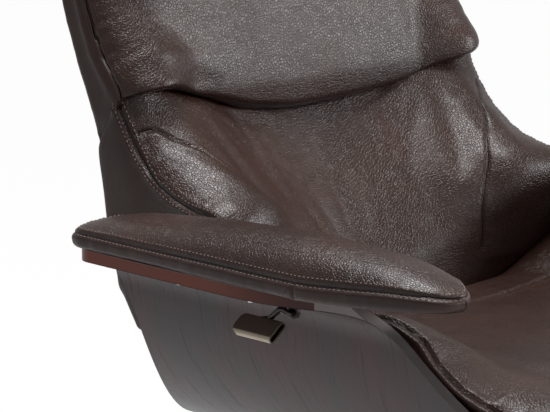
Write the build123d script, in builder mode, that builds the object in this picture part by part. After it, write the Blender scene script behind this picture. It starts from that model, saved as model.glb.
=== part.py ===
"""Swivel recliner: moulded plywood shell on a star base, with a reclining upholstered back.

Millimetres, +Z up. The origin is on the floor, on the swivel axis. The chair faces -Y and the
sitter's right arm, which carries the release lever, is at -X.
"""

from build123d import *
from collections import namedtuple
from math import acos, asin, cos, degrees, radians, sin, sqrt
import os

os.makedirs("parts", exist_ok=True)

# ---------------------------------------------------------------- fits and gaps
running_gap = 0.05      # radial clearance of a shaft in its bush
seat_gap = 0.1          # clearance of a piece pressed or dropped into its seat
soft_gap = 0.3          # upholstery to whatever it lies on
side_play = 0.5         # axial play at each end of a pivot

# ---------------------------------------------------------------- star base
star_arms = 5
base_reach = 325        # swivel axis to the centre of each glide
arm_root_half_width = 31
arm_tip_half_width = 19
arm_tip_overhang = 19   # casting beyond the glide's centre
arm_root_top = 88
arm_tip_top = 35
arm_root_bottom = 34
casting_wall = 4.5
rib_half_thickness = 2
arm_edge_radius = 7
hub_radius = 46
hub_top_radius = 33
hub_top = 112
hub_bottom = 30
hub_shoulder = 6        # ledge that the column stands on
hub_cap_depth = 8

glide_height = 15
glide_radius = 17
glide_stem_radius = 4
glide_stem_length = 16

# ---------------------------------------------------------------- column and swivel
column_radius = 25
column_wall = 3
bush_wall = 6.5
bush_flange = 2
bush_length = 30
lower_bush_bottom = 64
race_thickness = 2.5
ball_radius = 2.5
ball_count = 18
cage_thickness = 1.6
collar_radius = 31
collar_thickness = 8
spindle_tail = 10       # spindle below the lower bush
clip_thickness = 2
clip_rim = 3.5          # clip beyond the spindle
clip_groove = 1.5       # groove depth in the spindle

# ---------------------------------------------------------------- mounting pan
pan_depth = 24
pan_gauge = 4
pan_rim_radius = 88
pan_well_radius = 50
pan_slope_run = 12
pan_bolt_circle = 76
bolt_radius = 4
bolt_head_radius = 9
bolt_head_height = 3.5
nut_radius = 7
nut_height = 6

# ---------------------------------------------------------------- plywood shell
shell_bottom = 345      # underside of the plywood
ply = 12
shell_flat_half = 90    # flat under the seat
bend_radius = 240       # outside of the U bend
wall_angle = 76         # slope where the U bend meets the flare
flare_radius = 45
flange_lip = 18.5       # flange beyond the middle of the flare
shell_rear = 165
shell_tail = 248        # rear edge under the seat
waist_height = 494      # where the rear edge is furthest forward
waist_y = 156
waist_rise = 42         # curve of the rear edge above the waist
tail_edge = 8           # upright part of the rear edge at the bottom
shell_front = -402      # front edge under the seat
sweep_angle = 45        # slope of the front edge
flange_straight_front = -57
flange_corner_radius = 240
flange_rear_radius = 24
flange_corner_from = 532

# ---------------------------------------------------------------- seat
board_thickness = 10
board_rise = 37         # underside of the seat board over the shell's floor
board_front = -366
board_rear = 88
board_window_margin = 62
strap_width = 50
strap_thickness = 2
strap_count = 5
cleat_width = 40
cleat_setback = 1       # cleat's edge from the board's
cushion_gap = 7         # seat cushion to the shell, room for the release cable
seat_rear = 118
seat_front = -418
rim_width = 26
rim_drop = 46           # rims of the seat cushion under the flange's top
seat_shoulder = 75      # shoulder of the seat's top beyond the shell's flat

# ---------------------------------------------------------------- arm pads
pad_board_thickness = 6
pad_half_inner = 286    # inner edge of the pads
pad_board_inset = 14
pad_board_edge = 5      # board's edge from the flange's
pad_board_front = -97
pad_screw_radius = 2.5
pad_screw_head_radius = 5
pad_screw_head_height = 2.5

# ---------------------------------------------------------------- recline hinge
hinge_y = 150
hinge_z = 430
recline_range = 28
hinge_shaft_radius = 8
hinge_tube_radius = 15
hinge_tube_wall = 3.5
hinge_bracket_inner = 78
hinge_bracket_gauge = 6
hinge_eye_radius = 19
hinge_foot_front = 104
hinge_foot_rear = 214
hinge_foot_outer = 110
crank_length = 56
crank_gauge = 4
crank_half_gap = 10
crank_eye_radius = 11
crank_pin_radius = 5

# ---------------------------------------------------------------- gas spring
cylinder_radius = 11
cylinder_bore = 9
cylinder_rear = 66
rod_radius = 4
piston_length = 12
rod_inside = 30         # rod and piston inside the cylinder at rest
gland_length = 8
rod_eye_radius = 11
rod_eye_half = 8
head_length = 34
head_half_width = 20
head_socket = 14        # cylinder inside the head
head_clearance = 1
cable_entry = 7         # cable inside the head
cable_setback = 12      # cable from the head's rear
spring_pin_radius = 5
spring_lug_half = 6
spring_lug_reach = 12
spring_clevis_gauge = 4
spring_clevis_half = 10

# ---------------------------------------------------------------- release lever and cable
lever_y = -85
lever_z = 543
lever_range = 9
lever_shaft_radius = 3.6
lever_bush_radius = 5.8
lever_bush_flange = 9
lever_bush_nose = 1     # bush beyond the shell's outside
lever_shaft_reach = 3   # shaft beyond the shell's outside
stem_radius = 2.9
stem_seat = 26          # stem's end behind the paddle's front
paddle_width = 24
paddle_depth = 8
paddle_wall = 1.7
paddle_corner = 9       # rounding of the paddle's rear end
paddle_front = -86
paddle_rear = -34
paddle_tilt = 39
paddle_x = -352
paddle_z = 527.5
lever_arm_reach = 22
lever_arm_gauge = 3
lever_arm_width = 9
wire_radius = 0.9
cable_stop = 522        # height where the cable ends under the lever's arm
cable_clip_places = (0.03, 0.45, 0.84)
cable_radius = 2.5
cable_rest = 0.8        # cable above the shell
cable_clip_width = 9
cable_clip_gauge = 0.8
cable_tunnel = 7        # depth of the way left for the cable

# ---------------------------------------------------------------- back
back_half_width = 250
upper_back_height = 403  # top of the back over the seam between its cushions
back_bottom = 456
backboard_thickness = 10
backboard_side_margin = 16
backboard_drop = 28     # top of the board under the top of the back
ear_gauge = 5
ear_inner = 42
ear_outer = 74
ear_top = 610
ear_drop = 20           # foot of the ears below the upholstery
ear_link_half = 9
seam_side_height = 687   # the seam between the two back cushions, at the sides
seam_dip = 34            # how far it drops at the middle
wing_tip_x = 225        # where the lower cushion's wings come furthest forward
layer_overlap = 60      # how far sections run past the surface that trims them

# ---------------------------------------------------------------- derived places
flange_underside = (
    shell_bottom + bend_radius * (1 - cos(radians(wall_angle))) + flare_radius * (1 - cos(radians(wall_angle)))
)
flange_top = flange_underside + ply
shell_floor = shell_bottom + ply
board_height = shell_floor + board_rise
back_top = seam_side_height + upper_back_height
backboard_top = back_top - backboard_drop
bend_centre_z = shell_bottom + bend_radius
flare_centre_x = shell_flat_half + (bend_radius + flare_radius) * sin(radians(wall_angle))
flange_half_width = flare_centre_x + flange_lip
flare_centre_z = bend_centre_z - (bend_radius + flare_radius) * cos(radians(wall_angle))
pan_well_floor = shell_bottom - pan_depth
collar_bottom = pan_well_floor - collar_thickness
bearing_height = 2 * race_thickness + 2 * ball_radius + running_gap
bearing_bottom = collar_bottom - bearing_height
column_top = bearing_bottom - bush_flange
column_bottom = hub_bottom + hub_shoulder
column_bore = column_radius - column_wall
spindle_radius = column_bore - seat_gap - bush_wall - running_gap
board_top = board_height + board_thickness
spring_z = hinge_z - crank_length * (1 + cos(radians(recline_range / 2))) / 2
crank_y = hinge_y + crank_length * sin(radians(recline_range / 2))
crank_z = hinge_z - crank_length * cos(radians(recline_range / 2))
crank_sag = crank_length * (1 - cos(radians(recline_range / 2))) / 2
cable_inset = ply + cable_rest + cable_radius
cable_floor = shell_bottom + cable_inset
cable_y = lever_y + lever_arm_reach
cylinder_front = cable_y + cable_setback - head_socket


def finish(builder, name):
    """Label a finished piece and write it."""
    builder.part.label = name
    export_step(builder.part, f"parts/{name}.step")


def wall_half(height, inset):
    """Half width, at a height, of the shell's U bend pulled in by an inset from its underside."""
    radius = bend_radius - inset
    return shell_flat_half + sqrt(radius**2 - (bend_centre_z - height) ** 2)


def flare_half(height, inset):
    """Half width, at a height, of the flare between wall and flange."""
    radius = flare_radius + inset
    return flare_centre_x - sqrt(radius**2 - (height - flare_centre_z) ** 2)


def shell_curve(inset):
    """Draw half of the U section at an inset from the underside; returns its outer end."""
    Line((0, shell_bottom + inset), (shell_flat_half, shell_bottom + inset))
    CenterArc((shell_flat_half, bend_centre_z), bend_radius - inset, -90, wall_angle)
    CenterArc((flare_centre_x, flare_centre_z), flare_radius + inset, 90 + wall_angle, -wall_angle)
    end = (flange_half_width, flare_centre_z + flare_radius + inset)
    Line((flare_centre_x, end[1]), end)
    return end


def between(points, value):
    """Read a smooth-enough outline, given as (height, value) corners, at one height."""
    for (low, first), (high, second) in zip(points, points[1:]):
        if value <= high:
            return first + (second - first) * (value - low) / (high - low)
    return points[-1][1]


# ================================================================ star base
arm_tip = base_reach + arm_tip_overhang
arm_tip_bottom = glide_height


def arm_profile(inset):
    """Side view of one arm, pulled down from its top by an inset and open below when hollow."""
    floor = -1 if inset else 0
    top = ThreePointArc(
        (0, arm_root_top - inset),
        (arm_tip * 0.55, (arm_root_top + arm_tip_top) * 0.5 - inset + 3),
        (arm_tip - inset, arm_tip_top - inset),
    )
    Line(top @ 1, (arm_tip - inset, arm_tip_bottom + floor))
    Line((arm_tip - inset, arm_tip_bottom + floor), (base_reach * 0.75, arm_tip_bottom + floor))
    Line((base_reach * 0.75, arm_tip_bottom + floor), (0, arm_root_bottom + floor))
    Line((0, arm_root_bottom + floor), top @ 0)


def arm_plan(inset):
    """Plan of one arm with its rounded tip."""
    root = arm_root_half_width - inset
    tip = arm_tip_half_width - inset
    Line((0, root), (base_reach, tip))
    ThreePointArc((base_reach, tip), (base_reach + tip, 0), (base_reach, -tip))
    Line((base_reach, -tip), (0, -root))
    Line((0, -root), (0, root))


with BuildPart() as arm_hollow:
    with BuildSketch(Plane.XZ):
        with BuildLine():
            arm_profile(casting_wall)
        make_face()
    extrude(amount=arm_root_half_width, both=True)
    with BuildSketch(Plane.XY):
        with BuildLine():
            arm_plan(casting_wall)
        make_face()
    extrude(amount=hub_top, mode=Mode.INTERSECT)
    with Locations((base_reach, 0, 0)):
        Cylinder(glide_stem_radius * 2.2, hub_top * 2, mode=Mode.SUBTRACT)
    with Locations((base_reach / 2, 0, hub_top / 2)):
        Box(base_reach * 1.2, 2 * rib_half_thickness, hub_top * 1.2, mode=Mode.SUBTRACT)
    with Locations((base_reach * 0.45, 0, 0), (base_reach * 0.72, 0, 0)):
        Box(2 * rib_half_thickness, 2 * arm_root_half_width, hub_top * 2, mode=Mode.SUBTRACT)

with BuildPart() as star_arm:
    with BuildSketch(Plane.XZ):
        with BuildLine():
            arm_profile(0)
        make_face()
    extrude(amount=arm_root_half_width, both=True)
    with BuildSketch(Plane.XY):
        with BuildLine():
            arm_plan(0)
        make_face()
    extrude(amount=hub_top, mode=Mode.INTERSECT)
    top_edges = star_arm.faces().sort_by(Axis.Z)[-1].edges()
    fillet(top_edges.filter_by(lambda e: e.center().X > 1), radius=arm_edge_radius)
    add(arm_hollow.part, mode=Mode.SUBTRACT)
    with Locations((base_reach, 0, 0)):
        Cylinder(
            glide_stem_radius + seat_gap,
            glide_height + glide_stem_length,
            align=(Align.CENTER, Align.CENTER, Align.MIN),
            mode=Mode.SUBTRACT,
        )

with BuildPart() as star_base:
    with PolarLocations(0, star_arms, start_angle=-90):
        add(star_arm.part)
    with BuildSketch(Plane.XZ):
        with BuildLine():
            outer = Polyline(
                (0, hub_bottom), (hub_radius, hub_bottom), (hub_radius, arm_root_bottom + casting_wall)
            )
            flank = ThreePointArc(
                outer @ 1,
                (hub_top_radius + (hub_radius - hub_top_radius) * 0.38, (arm_root_bottom + hub_top) * 0.56),
                (hub_top_radius, hub_top),
            )
            Polyline(flank @ 1, (0, hub_top), (0, hub_bottom))
        make_face()
    revolve(axis=Axis.Z)
    with Locations((0, 0, column_bottom)):
        Cylinder(
            column_radius + seat_gap,
            hub_top,
            align=(Align.CENTER, Align.CENTER, Align.MIN),
            mode=Mode.SUBTRACT,
        )
    Cylinder(column_bore, hub_top, align=(Align.CENTER, Align.CENTER, Align.MIN), mode=Mode.SUBTRACT)
finish(star_base, "star_base")

with BuildPart() as hub_cap:
    with BuildSketch(Plane.XZ):
        with BuildLine():
            Polyline(
                (0, hub_bottom - hub_cap_depth + 2),
                (hub_radius - 8, hub_bottom - hub_cap_depth),
                (hub_radius - 4, hub_bottom - hub_cap_depth + 3),
                (hub_radius - 4, hub_bottom),
                (hub_radius - 8, hub_bottom),
                (hub_radius - 8, hub_bottom - hub_cap_depth + 4),
                (column_bore - seat_gap, hub_bottom - hub_cap_depth + 4),
                (column_bore - seat_gap, hub_bottom + hub_shoulder),
                (column_bore - 3, hub_bottom + hub_shoulder),
                (column_bore - 3, hub_bottom - hub_cap_depth + 4),
                (0, hub_bottom - hub_cap_depth + 4),
                close=True,
            )
        make_face()
    revolve(axis=Axis.Z)
finish(hub_cap, "hub_cap")

for index in range(star_arms):
    with BuildPart() as glide:
        with PolarLocations(base_reach, 1, start_angle=-90 + index * 360 / star_arms):
            Cylinder(glide_radius, glide_height - 5, align=(Align.CENTER, Align.CENTER, Align.MIN))
            with Locations((0, 0, glide_height - 5)):
                Cone(glide_radius, glide_radius * 0.7, 5, align=(Align.CENTER, Align.CENTER, Align.MIN))
            Cylinder(
                glide_stem_radius,
                glide_height + glide_stem_length - seat_gap,
                align=(Align.CENTER, Align.CENTER, Align.MIN),
            )
        chamfer(glide.edges().filter_by(GeomType.CIRCLE).group_by(Axis.Z)[0], length=1.5)
    finish(glide, f"glide_{index + 1}")

# ================================================================ column, bushes and thrust bearing
with BuildPart() as column_tube:
    with Locations((0, 0, column_bottom)):
        Cylinder(column_radius, column_top - column_bottom, align=(Align.CENTER, Align.CENTER, Align.MIN))
        Cylinder(
            column_bore,
            column_top - column_bottom,
            align=(Align.CENTER, Align.CENTER, Align.MIN),
            mode=Mode.SUBTRACT,
        )
finish(column_tube, "column_tube")


def bush_sleeve(bottom, length):
    """A plastic sleeve that lines the column."""
    with Locations((0, 0, bottom)):
        Cylinder(column_bore - seat_gap, length, align=(Align.CENTER, Align.CENTER, Align.MIN))


def spindle_bore():
    """The running bore that the spindle turns in."""
    Cylinder(spindle_radius + running_gap, 3 * column_top, mode=Mode.SUBTRACT)


with BuildPart() as column_bush_lower:
    bush_sleeve(lower_bush_bottom, bush_length)
    spindle_bore()
finish(column_bush_lower, "column_bush_lower")

with BuildPart() as column_bush_upper:
    bush_sleeve(column_top - bush_length, bush_length + bush_flange)
    with Locations((0, 0, column_top)):
        Cylinder(column_radius + 2, bush_flange, align=(Align.CENTER, Align.CENTER, Align.MIN))
    spindle_bore()
finish(column_bush_upper, "column_bush_upper")


def race(bottom):
    """A flat washer of the thrust bearing."""
    with Locations((0, 0, bottom)):
        Cylinder(column_radius + 3, race_thickness, align=(Align.CENTER, Align.CENTER, Align.MIN))
    Cylinder(spindle_radius + 2 * seat_gap, 3 * column_top, mode=Mode.SUBTRACT)


ball_track = (column_radius + 3 + spindle_radius) / 2
ball_height = bearing_bottom + race_thickness + ball_radius

with BuildPart() as thrust_race_lower:
    race(bearing_bottom)
finish(thrust_race_lower, "thrust_race_lower")

with BuildPart() as thrust_race_upper:
    race(collar_bottom - race_thickness)
finish(thrust_race_upper, "thrust_race_upper")

with BuildPart() as thrust_balls:
    with Locations((0, 0, ball_height)):
        with PolarLocations(ball_track, ball_count):
            Sphere(ball_radius)
finish(thrust_balls, "thrust_balls")

with BuildPart() as thrust_cage:
    with Locations((0, 0, ball_height)):
        Cylinder(column_radius + 2, cage_thickness)
        Cylinder(spindle_radius + 1, cage_thickness, mode=Mode.SUBTRACT)
        with PolarLocations(ball_track, ball_count):
            Cylinder(ball_radius + seat_gap, 2 * cage_thickness, mode=Mode.SUBTRACT)
finish(thrust_cage, "thrust_cage")

spindle_bottom = lower_bush_bottom - spindle_tail
groove_bottom = lower_bush_bottom - side_play - clip_thickness

with BuildPart() as spindle:
    with BuildSketch(Plane.XZ):
        with BuildLine():
            Polyline(
                (0, spindle_bottom),
                (spindle_radius - 1, spindle_bottom),
                (spindle_radius, spindle_bottom + 1),
                (spindle_radius, groove_bottom),
                (spindle_radius - clip_groove, groove_bottom),
                (spindle_radius - clip_groove, groove_bottom + clip_thickness),
                (spindle_radius, groove_bottom + clip_thickness),
                (spindle_radius, collar_bottom),
                (collar_radius, collar_bottom),
                (collar_radius, pan_well_floor),
                (spindle_radius, pan_well_floor),
                (spindle_radius, pan_well_floor + pan_gauge),
                (0, pan_well_floor + pan_gauge),
                close=True,
            )
        make_face()
    revolve(axis=Axis.Z)
finish(spindle, "spindle")

with BuildPart() as retaining_clip:
    with Locations((0, 0, groove_bottom + clip_thickness / 2)):
        Cylinder(spindle_radius + clip_rim, clip_thickness - 2 * seat_gap)
        Cylinder(spindle_radius - clip_groove + seat_gap, clip_thickness, mode=Mode.SUBTRACT)
        with Locations((0, -spindle_radius - clip_rim, 0)):
            Box(spindle_radius, spindle_radius, clip_thickness, mode=Mode.SUBTRACT)
finish(retaining_clip, "retaining_clip")

# ================================================================ mounting pan and its bolts
with BuildPart() as mounting_pan:
    with BuildSketch(Plane.XZ):
        with BuildLine():
            Polyline(
                (spindle_radius + seat_gap, pan_well_floor),
                (pan_well_radius, pan_well_floor),
                (pan_well_radius + pan_slope_run, shell_bottom - pan_gauge),
                (pan_rim_radius, shell_bottom - pan_gauge),
                (pan_rim_radius, shell_bottom),
                (pan_well_radius + pan_slope_run - pan_gauge / 2, shell_bottom),
                (pan_well_radius - pan_gauge / 2, pan_well_floor + pan_gauge),
                (spindle_radius + seat_gap, pan_well_floor + pan_gauge),
                close=True,
            )
        make_face()
    revolve(axis=Axis.Z)
    with Locations((0, 0, shell_bottom)):
        with PolarLocations(pan_bolt_circle, 4, start_angle=45):
            Hole(bolt_radius + seat_gap, pan_gauge)
finish(mounting_pan, "mounting_pan")

with BuildPart() as pan_bolts:
    with PolarLocations(pan_bolt_circle, 4, start_angle=45):
        with Locations((0, 0, shell_floor)):
            Cone(
                bolt_head_radius,
                bolt_head_radius * 0.6,
                bolt_head_height,
                align=(Align.CENTER, Align.CENTER, Align.MIN),
            )
        with Locations((0, 0, shell_floor)):
            Cylinder(
                bolt_radius,
                ply + pan_gauge + nut_height + 2,
                align=(Align.CENTER, Align.CENTER, Align.MAX),
            )
    with BuildSketch(Plane.XY.offset(shell_bottom - pan_gauge)):
        with PolarLocations(pan_bolt_circle, 4, start_angle=45):
            RegularPolygon(nut_radius, 6)
    extrude(amount=-nut_height)
finish(pan_bolts, "pan_bolts")

# ================================================================ plywood shell
hinge_bolt_x = (hinge_bracket_inner + hinge_bracket_gauge + hinge_foot_outer) / 2
hinge_bolt_ys = (hinge_foot_front + 16, hinge_foot_rear - 16)
pad_screw_x = (flare_centre_x + flange_half_width) / 2
pad_screw_ys = (shell_rear - 45, 20, flange_straight_front - 20)

def hollow_radius(run, rise):
    """Radius of an arc that starts upright and moves sideways by a run over a rise."""
    return (run**2 + rise**2) / (2 * run)


with BuildPart() as seat_shell:
    with BuildSketch(Plane.XZ):
        with BuildLine():
            under_end = shell_curve(0)
            over_end = shell_curve(ply)
            Line(under_end, over_end)
            mirror(about=Plane.YZ)
        make_face()
    extrude(amount=-shell_front + ply, both=True)
    sweep_rise = flange_top + ply - shell_bottom
    with BuildSketch(Plane.YZ):
        with BuildLine():
            Polyline(
                (shell_tail, shell_bottom + tail_edge),
                (shell_tail, shell_bottom - tail_edge),
                (shell_front, shell_bottom - tail_edge),
                (shell_front, shell_bottom),
                (shell_front + sweep_rise / cos(radians(sweep_angle)) * sin(radians(sweep_angle)),
                 shell_bottom + sweep_rise),
                (shell_rear, flange_top + ply),
                (shell_rear, waist_height + waist_rise),
            )
            # The rear edge is upright at the waist and curves rearwards above and below it
            turn = hollow_radius(shell_rear - waist_y, waist_rise)
            RadiusArc((shell_rear, waist_height + waist_rise), (waist_y, waist_height), -turn)
            turn = hollow_radius(shell_tail - waist_y, waist_height - shell_bottom - tail_edge)
            RadiusArc((waist_y, waist_height), (shell_tail, shell_bottom + tail_edge), -turn)
        make_face()
    extrude(amount=flange_half_width + ply, both=True, mode=Mode.INTERSECT)
    # Plan of the flange: a straight outer edge, a long curve forward and a rounded rear corner
    with BuildSketch(Plane.XY.offset(flange_corner_from)):
        Rectangle(2 * flange_half_width + 2 * ply, 2 * (ply - shell_front))
        with BuildSketch(mode=Mode.SUBTRACT):
            with BuildLine():
                corner_end = (
                    flange_half_width - flange_corner_radius * (1 - cos(radians(60))),
                    flange_straight_front - flange_corner_radius * sin(radians(60)),
                )
                Line((0, shell_rear), (flange_half_width - flange_rear_radius, shell_rear))
                RadiusArc(
                    (flange_half_width - flange_rear_radius, shell_rear),
                    (flange_half_width, shell_rear - flange_rear_radius),
                    flange_rear_radius,
                )
                Line((flange_half_width, shell_rear - flange_rear_radius), (flange_half_width, flange_straight_front))
                CenterArc(
                    (flange_half_width - flange_corner_radius, flange_straight_front), flange_corner_radius, 0, -60
                )
                Line(corner_end, (0, corner_end[1]))
                mirror(about=Plane.YZ)
            make_face()
    extrude(amount=flange_top, mode=Mode.SUBTRACT)
    with Locations((0, 0, shell_floor)):
        with PolarLocations(pan_bolt_circle, 4, start_angle=45):
            Hole(bolt_radius + seat_gap, ply)
        with Locations(
            *[(side * hinge_bolt_x, y) for side in (-1, 1) for y in hinge_bolt_ys]
        ):
            Hole(bolt_radius + seat_gap, 2 * ply)
    with Locations((0, 0, flange_top)):
        with Locations(*[(side * pad_screw_x, y) for side in (-1, 1) for y in pad_screw_ys]):
            Hole(pad_screw_radius + seat_gap, ply)
    with Locations(Location((-flare_half(lever_z, 0), lever_y, lever_z), (0, 90, 0))):
        Cylinder(lever_bush_radius + seat_gap, 6 * ply, mode=Mode.SUBTRACT)
finish(seat_shell, "seat_shell")

# ================================================================ seat board, straps and cleats
board_half = wall_half(board_height, ply) - soft_gap
window_half = board_half - board_window_margin
window_depth = board_rear - board_front - 2 * board_window_margin
board_middle = (board_front + board_rear) / 2
strap_pitch = window_depth / strap_count

# The way that the cable takes between the shell and what lies in it
with BuildPart() as cable_way:
    with BuildSketch(Plane.XZ.offset(-cable_y)):
        with Locations((-shell_flat_half, bend_centre_z)):
            Circle(bend_radius)
            Circle(bend_radius - ply - cable_tunnel, mode=Mode.SUBTRACT)
    extrude(amount=cable_radius + 2 * side_play, both=True)

with BuildPart() as seat_board:
    with BuildSketch(Plane.XY.offset(board_height)):
        with Locations((0, board_middle)):
            RectangleRounded(2 * board_half, board_rear - board_front, 20)
            RectangleRounded(2 * window_half, window_depth, 25, mode=Mode.SUBTRACT)
    extrude(amount=board_thickness)
    add(cable_way.part, mode=Mode.SUBTRACT)
finish(seat_board, "seat_board")

with BuildPart() as seat_straps:
    with BuildSketch(Plane.XY.offset(board_top)):
        with Locations((0, board_middle)):
            with GridLocations(0, strap_pitch, 1, strap_count):
                Rectangle(2 * window_half + board_window_margin, strap_width)
    extrude(amount=strap_thickness)
finish(seat_straps, "seat_straps")

cleat_outer = board_half - cleat_setback
cleat_inner = cleat_outer - cleat_width


def shell_floor_at(half):
    """Height of the shell's upper face at a half width on its bend."""
    return bend_centre_z - sqrt((bend_radius - ply) ** 2 - (half - shell_flat_half) ** 2)


# A shaped batten between the curve of the shell and the edge of the seat board
with BuildPart() as seat_cleat_right:
    with BuildSketch(Plane.XZ.offset(-board_rear + ply)):
        with BuildLine():
            Polyline(
                (-cleat_outer, shell_floor_at(cleat_outer)),
                (-cleat_outer, board_height),
                (-cleat_inner, board_height),
                (-cleat_inner, shell_floor_at(cleat_inner)),
            )
            RadiusArc(
                (-cleat_inner, shell_floor_at(cleat_inner)),
                (-cleat_outer, shell_floor_at(cleat_outer)),
                bend_radius - ply,
            )
        make_face()
    extrude(amount=board_rear - board_front - 2 * ply)
    add(cable_way.part, mode=Mode.SUBTRACT)
finish(seat_cleat_right, "seat_cleat_right")

# ================================================================ seat cushion
# Rear to front: place, rim and middle heights of the top, and how far the section draws in
SeatStation = namedtuple("SeatStation", "y rim shoulder middle draw")
rim_level = flange_top - rim_drop
seat_stations = (
    SeatStation(seat_rear, rim_level - 12, 472, 460, 6),
    SeatStation(seat_rear - 50, rim_level, 476, 465, 0),
    SeatStation(-60, rim_level, 482, 473, 0),
    SeatStation(-165, rim_level, 486, 478, 0),
    SeatStation(-245, rim_level - 39, 484, 480, 0),
    SeatStation(-315, 455, 479, 478, 0),
    SeatStation(-365, 438, 462, 466, 3),
    SeatStation(seat_front + 16, 424, 440, 446, 11),
    SeatStation(seat_front, 412, 418, 424, 24),
)


def seat_section(station):
    """Section of the bucket-shaped seat cushion: it lies in the shell's curve and rises at its rims."""
    inset = ply + cushion_gap + station.draw
    radius = bend_radius - inset
    floor = shell_bottom + inset
    outer = wall_half(station.rim, inset)
    swing = degrees(asin((outer - shell_flat_half) / radius))
    inner = outer - rim_width
    shoulder = shell_flat_half + seat_shoulder - station.draw
    Line((-shell_flat_half, floor), (shell_flat_half, floor))
    for side in (1, -1):
        start = (side * shell_flat_half, floor)
        rim = (side * outer, station.rim)
        half = radians(swing / 2)
        belly = (side * (shell_flat_half + radius * sin(half)), bend_centre_z - radius * cos(half))
        ThreePointArc(start, belly, rim)
        top = (side * (outer - rim_width / 2), station.rim + rim_width * 0.35)
        ThreePointArc(rim, top, (side * inner, station.rim))
        sag = 8 if station.rim > station.shoulder else -8
        mid = (side * (inner + shoulder) / 2 - side * sag, (station.rim + station.shoulder) / 2 - abs(sag))
        ThreePointArc((side * inner, station.rim), mid, (side * shoulder, station.shoulder))
    ThreePointArc(
        (shoulder, station.shoulder), (0, station.middle + 2), (-shoulder, station.shoulder)
    )


with BuildPart() as seat_cushion:
    for station in seat_stations:
        with BuildSketch(Plane.XZ.offset(-station.y)):
            with BuildLine():
                seat_section(station)
            make_face()
    loft()
    # The bay under the cushion holds the seat board and the recline mechanism
    with Locations((0, board_front - soft_gap, board_top + strap_thickness + soft_gap)):
        Box(
            3 * board_half,
            -2 * board_front,
            board_top,
            align=(Align.CENTER, Align.MIN, Align.MAX),
            mode=Mode.SUBTRACT,
        )
finish(seat_cushion, "seat_cushion")

# ================================================================ arm pads
# Rear to front: place, how far each edge is drawn in, and the heights of base, seam and crown
PadStation = namedtuple("PadStation", "y outer inner base seam crown")
pad_rear = shell_rear + 4
pad_stations = (
    PadStation(pad_rear, 13, 20, 5, 11, 14),
    PadStation(pad_rear - 9, 1, 6, 1, 15, 22),
    PadStation(pad_rear - 30, -2, 2, 0, 15, 27),
    PadStation(70, -2, 1, 0, 15, 38),
    PadStation(-60, -2, 0, 0, 15, 46),
    PadStation(-140, -1, 0, 0, 15, 48),
    PadStation(-200, 6, 1, 2, 18, 44),
    PadStation(-255, 18, 4, 6, 21, 37),
    PadStation(-290, 35, 12, 8, 21, 28),
    PadStation(-305, 49, 26, 11, 18, 21),
)


def pad_section(station):
    """Section of an arm pad: flat base, upright boxing and a crowned top."""
    base = flange_top + station.base
    seam = flange_top + station.seam
    outer = flange_half_width - station.outer
    inner = pad_half_inner + station.inner
    Line((-outer, base), (-inner, base))
    Line((-inner, base), (-inner, seam))
    ThreePointArc((-inner, seam), (-(outer + inner) / 2, flange_top + station.crown), (-outer, seam))
    Line((-outer, seam), (-outer, base))


def pad_board_plan(margin):
    """Plan of the stiff board in an arm pad's underside."""
    outer = flange_half_width - pad_board_edge + margin
    inner = pad_half_inner + pad_board_inset - margin
    rear = shell_rear - pad_board_inset + margin
    front = pad_board_front - margin
    with Locations((-(outer + inner) / 2, (rear + front) / 2)):
        Rectangle(outer - inner, rear - front)


with BuildPart() as pad_board_right:
    with BuildSketch(Plane.XY.offset(flange_top)):
        pad_board_plan(0)
    extrude(amount=pad_board_thickness)
    with Locations((0, 0, flange_top + pad_board_thickness)):
        with Locations(*[(-pad_screw_x, y) for y in pad_screw_ys]):
            Hole(pad_screw_radius + seat_gap, pad_board_thickness)
finish(pad_board_right, "pad_board_right")

with BuildPart() as arm_pad_right:
    for station in pad_stations:
        with BuildSketch(Plane.XZ.offset(-station.y)):
            with BuildLine():
                pad_section(station)
            make_face()
    loft()
    with BuildSketch(Plane.XY.offset(flange_top)):
        pad_board_plan(soft_gap)
    extrude(amount=pad_board_thickness + soft_gap, mode=Mode.SUBTRACT)
    with Locations((0, 0, flange_top)):
        Box(
            3 * flange_half_width,
            3 * flange_half_width,
            ply,
            align=(Align.CENTER, Align.CENTER, Align.MAX),
            mode=Mode.SUBTRACT,
        )
finish(arm_pad_right, "arm_pad_right")

with BuildPart() as pad_screws_right:
    with Locations(*[(-pad_screw_x, y, flange_underside) for y in pad_screw_ys]):
        Cylinder(
            pad_screw_radius,
            ply + pad_board_thickness,
            align=(Align.CENTER, Align.CENTER, Align.MIN),
        )
        Cone(
            pad_screw_head_radius * 0.6,
            pad_screw_head_radius,
            pad_screw_head_height,
            align=(Align.CENTER, Align.CENTER, Align.MAX),
        )
finish(pad_screws_right, "pad_screws_right")

# ================================================================ recline hinge on the seat
# A folded steel bracket stands on the shell's floor and holds the hinge shaft
hinge_shoulder = shell_floor + hinge_bracket_gauge + 4

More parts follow.
